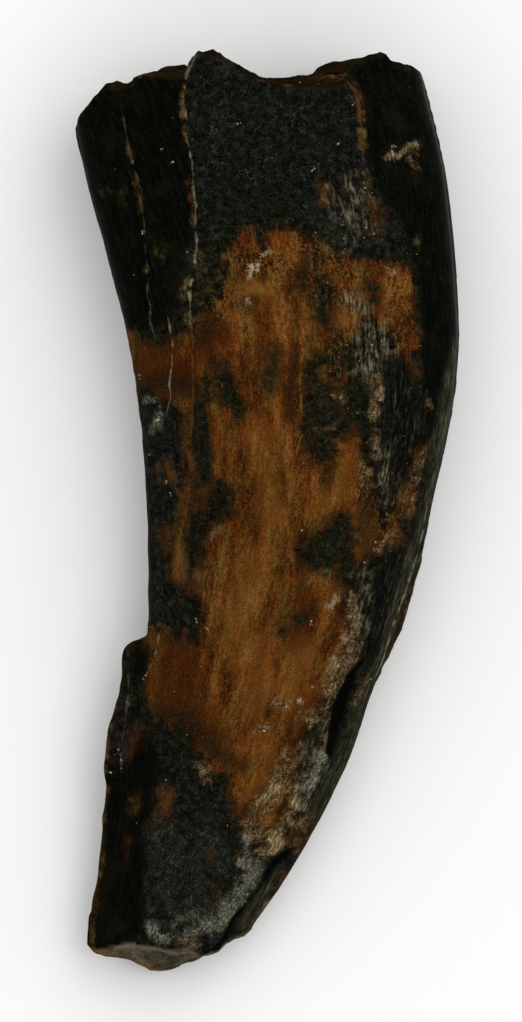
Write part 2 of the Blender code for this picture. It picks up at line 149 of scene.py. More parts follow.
BOTH_SIDES = {  # marks with ragged edges, by the name of their attribute. The underside has them too, moved
    "spot": [  # brown that glows through the black
        [(-1.99, 0.93, 0.1), (-1.93, 0.66, 0.1)], [(-1.93, -0.4, 0.12), (-1.95, -0.71, 0.14)],
        [(-1.72, -0.75, 0.13), (-1.72, -1.2, 0.11)], [(-1.31, -1.22, 0.12), (-1.33, -1.53, 0.12)],
        [(-1.07, -0.59, 0.14), (-1.15, -0.88, 0.16)], [(-1.23, 0.46, 0.17), (-1.31, 0.19, 0.17)],
        [
            (-1.5, 2.14, 0.13), (-1.5, 0.97, 0.11), (-1.54, 0.19, 0.1), (-1.66, -0.3, 0.11),
            (-1.78, -0.71, 0.12),
        ],
        [(-1.93, -5.47, 0.1), (-2.01, -5.79, 0.08)], [(2.75, 0.54, 0.11), (2.7, 0.05, 0.12)],
        [(2.86, 1.15, 0.07), (2.78, 0.85, 0.08)], [(2.42, -0.2, 0.1), (2.5, -0.65, 0.12)],
        [(1.09, 6.28, 0.06), (1.07, 6.09, 0.06)], [(-0.53, -5.51, 0.18), (-0.47, -5.83, 0.16)],
        [(1.66, 3.51, 0.12)], [(-2.6, -2.62, 0.1), (-2.28, -2.48, 0.13)],
    ],
    "dim_spot": [  # brown that only just shows through
        [(-2.56, -5.51, 0.07), (-2.56, -5.75, 0.09)], [(-2.01, -5.79, 0.1), (-2.2, -6.2, 0.08)],
        [(-1.13, -6.55, 0.08), (-1.1, -6.75, 0.05)], [(-1.0, -7.25, 0.05), (-1.0, -7.5, 0.06)],
        [(-2.75, -6.45, 0.03), (-2.79, -6.65, 0.03)], [(3.07, 1.36, 0.1), (2.87, 1.17, 0.08)],
        [(2.11, 5.76, 0.13), (2.04, 5.43, 0.13)], [(-2.5, -4.25, 0.12), (-2.68, -4.6, 0.1)],
        [(0.42, -5.4, 0.12), (0.52, -5.95, 0.16), (0.52, -6.35, 0.16)],
        [(0.85, -6.0, 0.08), (0.62, -6.45, 0.08)], [(1.9, -3.3, 0.06), (1.84, -3.6, 0.07)],
        [(2.6, 3.0, 0.12), (2.9, 2.75, 0.08)], [(-2.9, -0.1, 0.06), (-2.8, -0.8, 0.05)],
    ],
    "olive_spot": [  # olive that only just shows through
        [(-2.87, 6.2, 0.07), (-2.84, 6.05, 0.06)], [(-3.1, 6.3, 0.05)],
        [(-2.1, 5.25, 0.07), (-2.08, 5.0, 0.08)],
        [(-1.3, 4.95, 0.1), (-1.2, 4.6, 0.14), (-1.22, 4.2, 0.16)], [(0.12, 3.1, 0.09), (0.02, 2.5, 0.12)],
        [(-1.0, 2.3, 0.08), (-0.9, 2.12, 0.08)], [(-1.0, 4.75, 0.1), (-0.92, 4.4, 0.12)],
        [(-1.58, 4.5, 0.05), (-1.62, 4.25, 0.05)], [(1.3, 3.3, 0.12), (1.15, 2.95, 0.1)],
        [(1.05, 2.6, 0.1), (1.3, 2.2, 0.14), (1.5, 2.1, 0.08)], [(1.6, 2.95, 0.14), (1.4, 2.6, 0.12)],
        [(-2.65, -5.6, 0.06), (-2.62, -5.8, 0.07)], [(2.95, 5.3, 0.05), (3.0, 4.9, 0.05)],
    ],
    "torn": [  # brown and black torn into each other, with tan showing between them
        [(2.15, 4.75, 0.16), (2.4, 4.5, 0.26), (2.55, 4.1, 0.28), (2.62, 3.5, 0.22), (2.6, 3.1, 0.12)],
        [(0.75, 5.15, 0.2), (1.3, 4.9, 0.24), (1.75, 4.6, 0.2)],
        [(-0.45, 4.95, 0.2), (-0.1, 4.85, 0.26), (0.3, 4.75, 0.2)],
        [(1.5, 3.6, 0.2), (1.4, 3.2, 0.2), (1.35, 2.7, 0.16)],
        [(1.0, 4.5, 0.2), (1.2, 4.1, 0.24), (1.5, 4.2, 0.2)],
        [(2.15, 0.5, 0.16), (2.3, -0.1, 0.18), (2.35, -0.5, 0.14)],
        [(2.85, 1.1, 0.1), (2.75, 0.4, 0.12), (2.6, -0.1, 0.12)], [(1.9, 0.8, 0.14), (1.85, 0.2, 0.12)],
        [(-0.85, 4.3, 0.16), (-0.95, 3.9, 0.14)], [(0.4, -4.5, 0.1), (0.2, -5.1, 0.12)],
    ],
    "orange": [  # where the brown is at its most orange
        [(-0.33, 4.35, 0.2), (-0.1, 4.2, 0.2)],
        [(-0.18, 1.75, 0.23), (0.02, 0.58, 0.27), (0.1, -0.2, 0.23)],
        [(-0.33, -0.98, 0.27), (-0.57, -1.96, 0.29), (-0.57, -2.74, 0.23)],
        [(-0.1, -2.54, 0.23), (-0.18, -3.72, 0.27), (0.06, -4.89, 0.2)],
        [(2.44, 4.49, 0.23), (2.48, 4.0, 0.27)],
        [(1.62, 0.87, 0.23), (1.54, 0.39, 0.27), (1.04, 0.09, 0.2)],
        [(1.86, -0.1, 0.16), (2.05, -0.49, 0.14)], [(-0.1, -5.04, 0.18), (-0.21, -5.44, 0.18)],
        [(-0.1, -5.83, 0.16), (0.02, -6.02, 0.14)], [(0.72, -2.74, 0.23), (0.49, -3.52, 0.27)],
        [(-1.64, -0.83, 0.12), (-1.68, -1.06, 0.12)], [(-1.93, -5.51, 0.1), (-1.99, -5.71, 0.1)],
    ],
    "veil": [  # the last thin film of black, over the brown
        [(0.14, 3.2, 0.12), (0.05, 2.45, 0.16)], [(0.5, 3.1, 0.09), (0.47, 1.8, 0.11)],
        [(1.45, 1.75, 0.42), (1.2, 2.3, 0.3)],
        [(-2.1, -3.9, 0.2), (-1.6, -4.0, 0.18), (-1.05, -4.72, 0.22), (-0.5, -4.95, 0.18)],
        [(0.95, 4.95, 0.25), (0.6, 4.6, 0.2)], [(1.1, 4.15, 0.3), (1.1, 3.75, 0.2)],
        [(-2.5, 3.35, 0.16), (-1.7, 3.4, 0.12)], [(-2.2, 2.5, 0.2), (-1.5, 2.45, 0.22)],
        [(-2.05, -2.42, 0.12), (-1.3, -2.5, 0.14)], [(-1.1, 3.75, 0.22), (-1.3, 3.4, 0.15)],
        [(-0.25, 4.12, 0.1), (-0.45, 4.05, 0.08)], [(-1.0, 2.9, 0.16), (-0.8, 2.9, 0.12)],
        [(1.6, -1.5, 0.2), (1.45, -2.0, 0.1)], [(0.3, -5.0, 0.12), (-0.35, -5.9, 0.14)],
        [(0.72, -2.1, 0.14), (0.9, -1.9, 0.1)], [(2.0, 0.9, 0.15), (1.95, -0.75, 0.15)],
    ],
    "dark_red": [  # where the brown is at its darkest and reddest
        [(-2.09, 2.81, 0.51), (-1.7, 2.69, 0.39)], [(-1.02, 3.51, 0.27), (-1.21, 3.22, 0.31)],
        [(-1.8, -2.93, 0.43), (-1.7, -3.72, 0.47), (-1.02, -4.4, 0.31)],
        [(0.68, -1.76, 0.27), (0.61, -2.54, 0.2)],
        [(0.8, -3.72, 0.23), (0.57, -4.5, 0.23), (0.35, -5.08, 0.16)],
        [(1.35, 3.75, 0.16), (1.27, 3.51, 0.16)], [(1.97, 4.72, 0.2), (2.21, 4.1, 0.1)],
        [(2.78, 4.1, 0.1), (2.7, 3.3, 0.16)],
    ],
    "dusty": [  # a grey bloom of dust on the black, and one stroke of painted sheen beside the groove
        [(-2.0, -6.3, 0.3), (-1.8, -7.0, 0.45), (-1.7, -7.7, 0.45), (-1.6, -8.2, 0.25)],
        # the stroke from (1.86, -3.9) to (1.3, -5.2) is painted sheen on the strip outside the groove
        [(-1.3, -6.2, 0.2), (-0.9, -6.6, 0.15)], [(1.86, -3.9, 0.06), (1.6, -4.6, 0.08), (1.3, -5.2, 0.08)],
        [(1.1, 5.75, 0.15), (1.5, 5.3, 0.2), (2.0, 5.4, 0.15)],
    ],
    "scoured": [  # enamel scoured to a fine grain, with painted silvery glints along it
        [(1.95, 3.55, 0.2), (2.02, 3.2, 0.27), (1.96, 2.8, 0.2)], [(2.27, 3.5, 0.14), (2.3, 3.1, 0.15)],
        [(1.62, 4.12, 0.1), (1.93, 3.92, 0.1)], [(1.5, 5.85, 0.16), (1.82, 5.58, 0.23), (1.62, 5.32, 0.13)],
        [(1.6, 6.5, 0.07), (1.76, 6.1, 0.1)], [(1.23, 6.25, 0.07), (1.39, 5.93, 0.1)],
        [(2.24, 1.3, 0.08), (2.3, 0.65, 0.1), (2.34, 0.2, 0.08)], [(1.85, -1.2, 0.1), (1.8, -2.3, 0.12)],
        [(1.66, -2.84, 0.13), (1.5, -3.35, 0.1)],
        [(1.08, -4.3, 0.17), (0.88, -5.1, 0.18), (0.74, -5.9, 0.13)], [(1.13, -1.27, 0.06)],
    ],
    "dark_strip": [  # and where a fine grain only just shows in the black
        [(2.62, 2.85, 0.14), (2.6, 2.3, 0.26), (2.66, 1.5, 0.3), (2.6, 0.7, 0.2)],
        [(2.98, 2.2, 0.14), (2.95, 1.4, 0.16)],
        [(2.5, -0.75, 0.14), (2.3, -1.4, 0.2), (2.16, -2.0, 0.18), (2.0, -2.5, 0.1)],
    ],
}
UPPER_ONLY = {  # those that the underside has none of
    "amber": [  # brown thin enough to glow amber
        [(-0.42, 4.36, 0.06), (-0.2, 4.4, 0.1), (-0.05, 4.34, 0.07)], [(2.3, 4.36, 0.08), (2.4, 4.12, 0.1)],
        [(-1.76, -0.72, 0.04), (-1.7, -1.15, 0.04)], [(-1.33, -1.2, 0.03), (-1.36, -1.5, 0.04)],
        [(-0.05, -5.7, 0.07), (0.0, -5.95, 0.06)], [(1.35, 3.68, 0.06), (1.48, 3.78, 0.05)],
    ],
    "grey_crust": [  # greenish mineral along the groove
        [(-0.2, -6.95, 0.1), (-0.4, -7.3, 0.17), (-0.65, -7.6, 0.17), (-0.95, -7.95, 0.2)],
        [(-1.15, -8.1, 0.16), (-1.5, -8.3, 0.1)], [(-0.38, -6.5, 0.1), (-0.45, -6.9, 0.12)],
        [(-1.35, -7.85, 0.05), (-1.75, -8.0, 0.06)], [(-2.0, -8.35, 0.12), (-2.3, -8.05, 0.06)],
        [(-2.08, 1.9, 0.09), (-2.16, 1.7, 0.11), (-2.2, 1.6, 0.05)],
        [(-2.2, 2.15, 0.04), (-2.3, 2.2, 0.05)], [(1.0, -4.85, 0.1), (0.85, -5.35, 0.12)],
    ],
}
NEAT_MARKS = {  # those with nearly even edges, on the upper side only
    "plate": [  # the thickest crust: pale and grained along the tooth
        [(0.1, -6.3, 0.1), (0.2, -6.5, 0.13), (0.12, -6.62, 0.08)],
        [(0.48, -5.6, 0.07), (0.58, -5.75, 0.07)], [(0.45, -6.05, 0.07)], [(-0.54, -6.85, 0.08)],
        [(2.2, 2.38, 0.05), (2.2, 2.2, 0.04)], [(2.1, 1.45, 0.02), (2.13, 1.25, 0.02)],
        [(1.35, -2.85, 0.05), (1.25, -3.15, 0.06)], [(0.2, -5.35, 0.06), (-0.2, -5.7, 0.04)],
        [(2.3, 6.88, 0.03), (2.42, 6.96, 0.05), (2.56, 6.91, 0.03)],
        [(2.56, 6.91, 0.03), (2.68, 7.03, 0.04), (2.78, 7.15, 0.03)],
        [(1.19, -1.82, 0.05), (1.33, -1.69, 0.06)], [(0.62, -3.68, 0.05)],
    ],
    "chip_scar": [  # the largest chips, pale and angular
        [(-0.34, 4.56, 0.05), (-0.31, 4.76, 0.05)], [(-0.19, 4.68, 0.03), (-0.17, 4.86, 0.04)],
        [(-0.1, 4.99, 0.03), (0.06, 5.06, 0.04)], [(1.2, -1.83, 0.05), (1.32, -1.7, 0.06)],
    ],
    "edge_band": [  # enamel worn along the bulging edge, painted olive grey as the sheen of its rounded rim: a painted reflection
        [(3.66, 3.3, 0.05), (3.6, 2.8, 0.09), (3.52, 2.3, 0.12), (3.43, 1.8, 0.13), (3.33, 1.3, 0.15)],
        [(3.33, 1.3, 0.15), (3.24, 0.8, 0.12), (3.14, 0.3, 0.1), (3.07, 0.0, 0.1), (2.96, -0.4, 0.09)],
        [(2.96, -0.4, 0.09), (2.8, -0.9, 0.12), (2.66, -1.4, 0.14), (2.55, -1.8, 0.13), (2.43, -2.2, 0.1)],
        [(2.43, -2.2, 0.1), (2.3, -2.6, 0.09), (2.15, -3.0, 0.08), (2.0, -3.35, 0.08), (1.9, -3.7, 0.13)],
        [(1.9, -3.7, 0.13), (1.74, -4.2, 0.15), (1.6, -4.6, 0.16), (1.42, -5.0, 0.17), (1.2, -5.4, 0.15)],
        [(1.2, -5.4, 0.15), (1.0, -5.8, 0.12), (0.8, -6.2, 0.07), (0.62, -6.55, 0.05)],
        [(0.2, -7.05, 0.06), (-0.1, -7.5, 0.1), (-0.32, -7.85, 0.12), (-0.5, -8.1, 0.1)],
    ],
    "rusty_edge": [  # a warm, speckled brown outside the bevel, and where the edges are thinnest
        [(3.03, -0.8, 0.03), (2.95, -1.2, 0.06), (2.83, -1.7, 0.1), (2.68, -2.1, 0.09), (2.52, -2.4, 0.06)],
        [(2.52, -2.4, 0.06), (2.32, -2.85, 0.03)],
        [(0.44, -7.0, 0.06), (0.2, -7.35, 0.07), (-0.03, -7.7, 0.06), (-0.28, -8.02, 0.04)],
        [(-0.33, -8.15, 0.06), (-0.5, -8.24, 0.05)],
        [
            (-3.46, -8.5, 0.08), (-3.45, -8.0, 0.07), (-3.37, -7.5, 0.06), (-3.28, -7.0, 0.04),
            (-3.2, -6.0, 0.04),
        ],
        [(-3.2, -6.0, 0.04), (-3.14, -5.4, 0.04)],
        [
            (-3.18, -5.1, 0.04), (-3.13, -4.5, 0.06), (-3.0, -3.95, 0.05), (-2.88, -3.4, 0.04),
            (-2.86, -2.9, 0.04),
        ],
        [(0.6, -6.65, 0.04), (0.42, -6.45, 0.08), (0.35, -6.05, 0.05)],
        [(0.95, -6.0, 0.05), (0.78, -6.25, 0.08), (0.62, -6.45, 0.08)],
    ],
    "tip_rim": [  # the rim of the tip's break: bruised, with a painted highlight along it
        [
            (-2.95, -8.53, 0.04), (-2.7, -8.5, 0.04), (-2.4, -8.52, 0.04), (-2.1, -8.58, 0.04),
            (-1.8, -8.62, 0.03),
        ],
    ],
    "tip_ochre": [  # and the ochre on its face
        [(-3.4, -8.6, 0.06), (-3.2, -8.66, 0.06), (-2.95, -8.69, 0.05)],
        [(-2.8, -8.78, 0.03), (-2.5, -8.87, 0.05), (-2.25, -8.94, 0.06), (-2.05, -8.97, 0.04)],
    ],
    "base_rust": [  # rust on the ledge of the base's break
        [(-0.1, 8.43, 0.05), (0.3, 8.38, 0.06), (0.55, 8.42, 0.08)],
        [(0.85, 8.45, 0.09), (1.2, 8.5, 0.1), (1.45, 8.52, 0.1)], [(-2.5, 8.5, 0.04), (-2.25, 8.53, 0.04)],
    ],
    "fill": [  # ochre and brown sediment in and beside the cracks
        [(-1.62, 8.3, 0.02), (-1.65, 7.7, 0.04)], [(-1.61, 7.46, 0.05), (-1.57, 7.24, 0.06)],
        [(-1.44, 5.9, 0.05), (-1.41, 5.6, 0.04)], [(-2.72, 7.1, 0.03), (-2.64, 6.85, 0.05)],
        [(-2.36, 4.72, 0.05)], [(1.82, 7.4, 0.07), (1.87, 7.15, 0.1)],
        [(1.9, 6.6, 0.03), (1.97, 6.35, 0.05)],
    ],
    "red_fill": [  # and the redder sediment, most of it in the right crack
        [(1.68, 8.3, 0.06), (1.8, 8.05, 0.08), (1.84, 7.65, 0.07)],
        [(1.99, 6.15, 0.07), (2.1, 5.85, 0.1), (2.14, 5.45, 0.08)],
        [(-1.5, 6.45, 0.06), (-1.49, 6.1, 0.06)],
        [(-2.57, 6.5, 0.04), (-2.5, 6.15, 0.06), (-2.44, 5.85, 0.04)],
    ],
    "hollow": [[(-2.5, -2.55, 0.16), (-2.5, -3.0, 0.14), (-2.56, -3.3, 0.08)]],  # behind the keel: its near black is painted shade
}
OUTLINED = {
    "polish": [  # smooth outer enamel between the cracks and along the edges
        [
            (-4.0, 8.6), (-1.6, 8.9), (-1.62, 7.95), (-1.5, 7.0), (-1.42, 5.6), (-1.6, 4.9), (-1.8, 3.7),
            (-2.9, 3.4),
        ],
        [
            (1.6, 8.9), (1.85, 7.8), (1.95, 6.9), (2.15, 6.3), (2.6, 5.6), (2.95, 4.6), (3.0, 3.0),
            (3.05, 2.0), (3.1, 1.0), (2.9, 0.1), (2.7, -0.6), (2.45, -1.5), (2.1, -2.5), (1.9, -2.9),
            (2.3, -2.9), (3.3, 0.0), (4.1, 2.5), (4.1, 6.0), (3.5, 9.0),
        ],
        [
            (-2.35, -6.2), (-2.48, -8.7), (-3.9, -8.7), (-3.5, -6.0), (-3.1, -4.9), (-2.75, -5.0),
            (-2.6, -4.4), (-2.3, -4.3), (-2.1, -4.7), (-2.15, -5.4),
        ],
    ],
    "groove": [  # the groove inside the bulging edge, which is all shadow
        [
            (2.02, -2.5), (1.92, -2.8), (1.74, -3.0), (1.56, -3.2), (1.42, -3.5), (1.31, -3.8),
            (1.23, -4.1), (1.2, -4.4), (1.19, -4.75), (1.24, -4.85), (1.36, -4.5), (1.51, -4.05),
            (1.58, -3.75), (1.68, -3.5), (1.79, -3.15), (1.95, -2.8), (2.06, -2.6),
        ],
        [
            (0.5, -6.55), (0.33, -6.65), (0.1, -6.82), (-0.02, -7.0), (-0.12, -7.25), (-0.26, -7.45),
            (-0.42, -7.65), (-0.62, -7.9), (-0.77, -8.15), (-0.92, -8.4), (-1.12, -8.55), (-1.32, -8.65),
            (-1.2, -8.72), (-1.0, -8.6), (-0.82, -8.4), (-0.67, -8.15), (-0.52, -7.9), (-0.35, -7.65),
            (-0.2, -7.45), (0.0, -7.2), (0.18, -6.95), (0.42, -6.7),
        ],
    ],
}
LINES = {
    "left_crack": [
        (-2.85, 7.9), (-2.81, 7.67), (-2.66, 6.81), (-2.54, 6.52), (-2.48, 6.05), (-2.4, 5.56),
        (-2.38, 4.96), (-2.32, 4.64), (-2.36, 4.19), (-2.29, 4.0), (-2.31, 3.67), (-2.19, 3.39),
    ],
    "flake_crack": [  # beside the lifted flake
        (-1.36, 8.95), (-1.43, 8.8), (-1.55, 8.58), (-1.6, 8.32), (-1.62, 7.95), (-1.56, 7.63),
        (-1.59, 7.34), (-1.52, 7.07), (-1.46, 6.73), (-1.42, 6.3), (-1.39, 5.93), (-1.4, 5.56),
        (-1.38, 5.27), (-1.41, 4.84), (-1.5, 4.39), (-1.5, 3.67),
    ],
    "lower_crack": [  # where it runs on, finer
        (-1.5, 3.67), (-1.46, 3.2), (-1.47, 2.73), (-1.45, 2.3), (-1.48, 1.75), (-1.52, 0.78),
        (-1.54, 0.19), (-1.66, -0.3), (-1.78, -0.69),
    ],
    "short_crack": [
        (-1.97, 3.86), (-1.93, 3.59), (-1.88, 3.28), (-1.9, 2.79), (-1.94, 2.46), (-1.87, 2.24),
        (-1.97, 1.95),
    ],
    "right_crack": [
        (1.54, 8.39), (1.7, 8.2), (1.8, 7.96), (1.82, 7.71), (1.88, 7.3), (1.88, 6.87), (1.99, 6.54),
        (1.95, 6.25), (2.09, 5.97), (2.11, 5.66), (1.95, 5.43),
    ],
    "hair_line": [(2.56, -0.85), (2.5, -1.1), (2.42, -1.35), (2.35, -1.6), (2.3, -1.8)],
    "keel_line": [(-2.72, -2.75), (-2.7, -3.4), (-2.73, -3.7), (-2.8, -4.2), (-2.87, -4.6), (-2.86, -5.05)],
    "ledge_line": [(-2.12, -2.2), (-2.14, -2.6), (-2.22, -2.9), (-2.34, -3.15), (-2.45, -3.4)],
    "bright_fibre": [
        (0.49, 3.71), (0.68, 3.22), (0.64, 2.53), (0.7, 1.56), (0.45, 0.78), (0.39, -0.2), (0.47, -0.98),
    ],
    "bevel": [  # from where outwards the bulging edge is bevelled off
        (3.12, 0.1), (3.05, -0.35), (2.97, -0.68), (2.84, -1.1), (2.71, -1.55), (2.55, -2.0), (2.4, -2.42),
        (2.24, -2.92), (2.07, -3.3),
    ],
    "under_crack": [  # the only one on the underside
        (0.4, 8.8), (0.5, 7.4), (0.3, 6.2), (0.45, 5.0), (0.3, 3.9), (0.5, 2.4), (0.35, 0.8),
    ],
}
PALE_CHIPS = [  # where chips of pale mineral are scattered, singly or in small heaps
    [(-0.36, 4.55, 0.05), (-0.28, 4.75, 0.04)], [(-0.12, 4.95, 0.03), (-0.02, 5.05, 0.04)],
    [(1.22, -1.8, 0.05), (1.35, -1.66, 0.07)], [(0.63, -3.68, 0.07)], [(0.88, -3.4, 0.04)],
    [(0.86, -2.1, 0.03), (0.86, -2.2, 0.04)], [(0.35, -3.78, 0.03), (0.42, -3.7, 0.04)],
    [(-0.15, -4.3, 0.04), (0.0, -4.2, 0.05)],
    [(-2.46, -3.35, 0.03), (-2.38, -3.2, 0.04), (-2.27, -3.05, 0.02)],
    [(-2.31, -2.28, 0.03), (-2.22, -2.24, 0.03)], [(-2.7, -3.75, 0.04)], [(-2.9, -4.63, 0.03)],
    [(-2.87, -4.75, 0.02), (-2.85, -5.0, 0.03)], [(-3.06, -5.1, 0.035)], [(-2.28, 1.12, 0.04)],
    [(-1.97, 0.58, 0.03)], [(-1.87, 0.37, 0.03), (-1.85, 0.2, 0.03)],
    [(-1.37, -2.15, 0.04), (-1.35, -2.0, 0.02)], [(-1.18, -2.25, 0.03), (-1.1, -2.38, 0.04)],
    [(0.86, 6.62, 0.05), (0.92, 6.7, 0.04)], [(1.55, 5.9, 0.25)], [(1.95, 6.1, 0.2)], [(2.05, 5.45, 0.25)],
    [(1.5, 5.35, 0.25)], [(1.37, 7.15, 0.03)], [(1.66, 6.28, 0.04)],
    [(1.88, 6.45, 0.02), (1.92, 6.2, 0.03)], [(-0.6, 7.62, 0.02), (-0.5, 7.48, 0.04)],
    [(-2.05, 7.05, 0.035)], [(-1.85, 6.8, 0.03)], [(-2.63, 6.8, 0.04)], [(-2.41, 5.45, 0.03)],
    [(2.45, 7.12, 0.04)], [(2.1, -0.6, 0.03)], [(-1.56, 5.05, 0.03)],
    [(-2.49, 2.7, 0.02), (-2.47, 2.6, 0.03)], [(2.22, 2.35, 0.05), (2.15, 2.15, 0.04)],
]
STUCK_GRAINS = [  # the largest grains, as (x, y, radius)
    (-0.33, 4.6, 0.046), (-0.02, 5.05, 0.033), (1.31, -1.74, 0.046), (1.27, -1.88, 0.033),
    (0.86, -2.14, 0.026), (0.64, -3.68, 0.033), (1.25, -3.36, 0.033), (-0.41, 4.14, 0.033),
    (-0.8, 3.84, 0.019), (-1.48, 3.67, 0.033), (-2.13, 1.79, 0.039), (-0.06, -4.26, 0.039),
    (-1.37, -2.15, 0.033), (-1.15, -2.29, 0.033), (2.32, -0.04, 0.026), (1.43, 2.22, 0.026),
    (0.68, -0.36, 0.026), (-2.3, 1.13, 0.019), (-2.71, -3.76, 0.026), (-2.85, -5.01, 0.019),
    (-1.97, 0.58, 0.026), (-1.88, 0.37, 0.026), (2.5, 7.11, 0.019), (1.89, -0.98, 0.026),
    (2.5, 4.29, 0.019), (1.17, 4.45, 0.019), (2.91, 5.02, 0.019), (2.97, 3.24, 0.026), (-0.29, 0.85, 0.019),
    (0.02, -6.39, 0.039), (0.27, -6.29, 0.033), (-1.56, -4.34, 0.019),
]

# ---------------------------------------------------------------- marks on the underside

UNDER_SHIFT = (-0.6, -1.3)  # the marks of BOTH_SIDES are moved this far in x and y
UNDER_BROWN_OUTLINE = [
    (-2.4, 3.6), (-1.9, 3.9), (-1.75, 4.6), (-1.2, 4.5), (-0.9, 5.3), (-0.3, 5.6), (0.1, 5.2), (0.6, 5.5),
    (0.9, 5.2), (1.3, 4.6), (1.9, 4.7), (2.1, 4.3), (2.3, 3.6), (2.7, 3.0), (2.5, 2.2), (2.8, 1.0),
    (2.4, 0.4), (2.35, -0.6), (2.0, -1.0), (2.0, -1.9), (1.5, -2.3), (1.6, -3.3), (1.15, -3.9), (1.0, -4.8),
    (0.5, -5.6), (0.1, -5.4), (-0.3, -6.1), (-0.7, -6.2), (-0.8, -5.4), (-1.3, -5.2), (-1.7, -4.6),
    (-1.55, -3.9), (-2.0, -3.2), (-1.9, -2.6), (-1.4, -2.2), (-1.5, -1.2), (-1.2, -0.6), (-1.35, 0.4),
    (-1.1, 0.9), (-1.5, 1.6), (-2.1, 1.7), (-2.6, 2.4),
]
UNDER_BLACK_STAINS = [
    [(0.9, 2.9, 0.3), (1.3, 2.1, 0.34)], [(-0.9, 0.9, 0.22), (-1.1, 0.2, 0.2)],
    [(0.5, -1.2, 0.3), (0.1, -1.9, 0.24)], [(-0.6, -3.6, 0.2)], [(1.6, -0.4, 0.16), (1.7, -1.3, 0.18)],
]
UNDER_CRUST = [
    [(1.3, -3.0, 0.2), (0.7, -4.6, 0.26), (0.0, -6.2, 0.22)], [(-0.9, 5.9, 0.16), (-0.5, 6.4, 0.12)],
    [(-1.9, -0.3, 0.12), (-1.9, -1.2, 0.16)],
]

# ---------------------------------------------------------------- fields over the surface


def smooth_step(low, high, value):
    """0 at low, 1 at high, and a smooth rise between them."""
    share = np.clip((value - low) / (high - low), 0, 1)
    return share * share * (3 - 2 * share)


def waves(points, cell, seed):
    """Smooth random heights from -1 to 1, with a hill every cell or so. A cell can have three sizes."""
    side = 32
    lattice = np.random.default_rng(seed).uniform(-1, 1, (side, side, side))
    turn = np.array(Matrix.Rotation(seed, 3, Vector((1, 2, 3))))  # hides the lattice's own rows
    scaled = points / np.array(cell, float) @ turn + 0.37 * seed
    base = np.floor(scaled).astype(int)
    part = smooth_step(0, 1, scaled - base)
    total = np.zeros(len(points))
    for corner in np.ndindex(2, 2, 2):  # the eight corners of the cell
        index = (base + corner) % side
        weight = np.prod(np.where(corner, part, 1 - part), axis=1)
        total += weight * lattice[tuple(index.T)]
    return total


def rough_waves(points, cell, seed, octaves=3):
    """Waves with finer and lower waves on them."""
    cell = np.array(cell, float)
    return sum(waves(points, cell / 2**i, seed + i) / 1.8**i for i in range(octaves))


def creases(points, cell, seed, octaves=2):
    """Rounded swells with sharp valleys between them, as on leather."""
    cell = np.array(cell, float)
    return sum((2 * np.abs(waves(points, cell / 2**i, seed + i)) - 0.6) / 1.8**i for i in range(octaves))


def stroke_reach(places, strokes):
    """How far, in mm, each place lies inside the nearest stroke. It's negative outside."""
    best = np.full(len(places), -9.0)
    for stroke in strokes:
        for start, end in zip(stroke, stroke[1:] or stroke):
            a, b = np.array(start[:2]), np.array(end[:2])
            along = b - a
            share = np.clip((places - a) @ along / max(along @ along, 1e-9), 0, 1)
            distance = np.linalg.norm(places - a - share[:, None] * along, axis=1)
            best = np.maximum(best, start[2] + (end[2] - start[2]) * share - distance)
    return best


def outline_reach(places, outline):
    """How far, in mm, each place lies inside a closed outline. It's negative outside."""
    closed = [(*corner, 0.0) for corner in [*outline, outline[0]]]
    distance = -stroke_reach(places, [closed])
    inside = np.zeros(len(places), bool)
    x, y = places.T
    for (ax, ay, _), (bx, by, _) in zip(closed, closed[1:]):
        crosses = (ay > y) != (by > y)
        inside ^= crosses & (x < ax + (bx - ax) * (y - ay) / (by - ay + 1e-12))
    return np.where(inside, distance, -distance)


def line_offset(places, line):
    """How far right of a line down the tooth each place lies, in mm, and 1 where it's abreast of the line."""
    x, y = np.array(sorted(line, key=lambda stop: stop[1])).T
    offset = places[:, 0] - np.interp(places[:, 1], y, x)
    started = smooth_step(y[0] - 0.1, y[0] + 0.1, places[:, 1])
    ended = smooth_step(y[-1] - 0.1, y[-1] + 0.1, places[:, 1])
    return offset, started * (1 - ended)


# ---------------------------------------------------------------- meshes


def apply_modifiers(piece):
    """Gives the piece the mesh that its modifiers make of it, and removes them."""
    graph = bpy.context.evaluated_depsgraph_get()
    made = bpy.data.meshes.new_from_object(piece.evaluated_get(graph))
    piece.modifiers.clear()
    old = piece.data
    piece.data = made
    bpy.data.meshes.remove(old)


def link(name, data):
    made = bpy.data.objects.new(name, data)
    bpy.context.scene.collection.objects.link(made)
    return made


def read_vectors(items, name):
    values = np.empty(len(items) * 3, np.float32)
    items.foreach_get(name, values)
    return values.reshape(-1, 3).astype(float)


def read_numbers(mesh, name):
    values = np.empty(len(mesh.vertices), np.float32)
    mesh.attributes[name].data.foreach_get("value", values)
    return values


def set_places(mesh, places):
    mesh.vertices.foreach_set("co", places.astype(np.float32).ravel())
    mesh.update()


def store(mesh, name, values):
    kind, field = ("FLOAT", "value") if values.ndim == 1 else ("FLOAT_VECTOR", "vector")
    made = mesh.attributes.new(name, kind, "POINT")
    made.data.foreach_set(field, values.astype(np.float32).ravel())


def mesh_edges(mesh):
    """Each edge's two vertices."""
    edges = np.empty(len(mesh.edges) * 2, np.int32)
    mesh.edges.foreach_get("vertices", edges)
    return edges.reshape(-1, 2)


def neighbour_mean(values, edges, corners=None):
    """The mean of each vertex's neighbours. A vertex on a corner heeds only those that are on it too."""
    total = np.zeros_like(values)
    weights = np.zeros(len(values))
    for here, there in (edges.T, edges.T[::-1]):
        weight = np.ones(len(here)) if corners is None else 1 - corners[here] * (1 - corners[there])
        weights += np.bincount(here, weight, len(values))
        for column in range(values.shape[1]):
            total[:, column] += np.bincount(here, weight * values[there, column], len(values))
    return total / np.maximum(weights, 1e-6)[:, None]


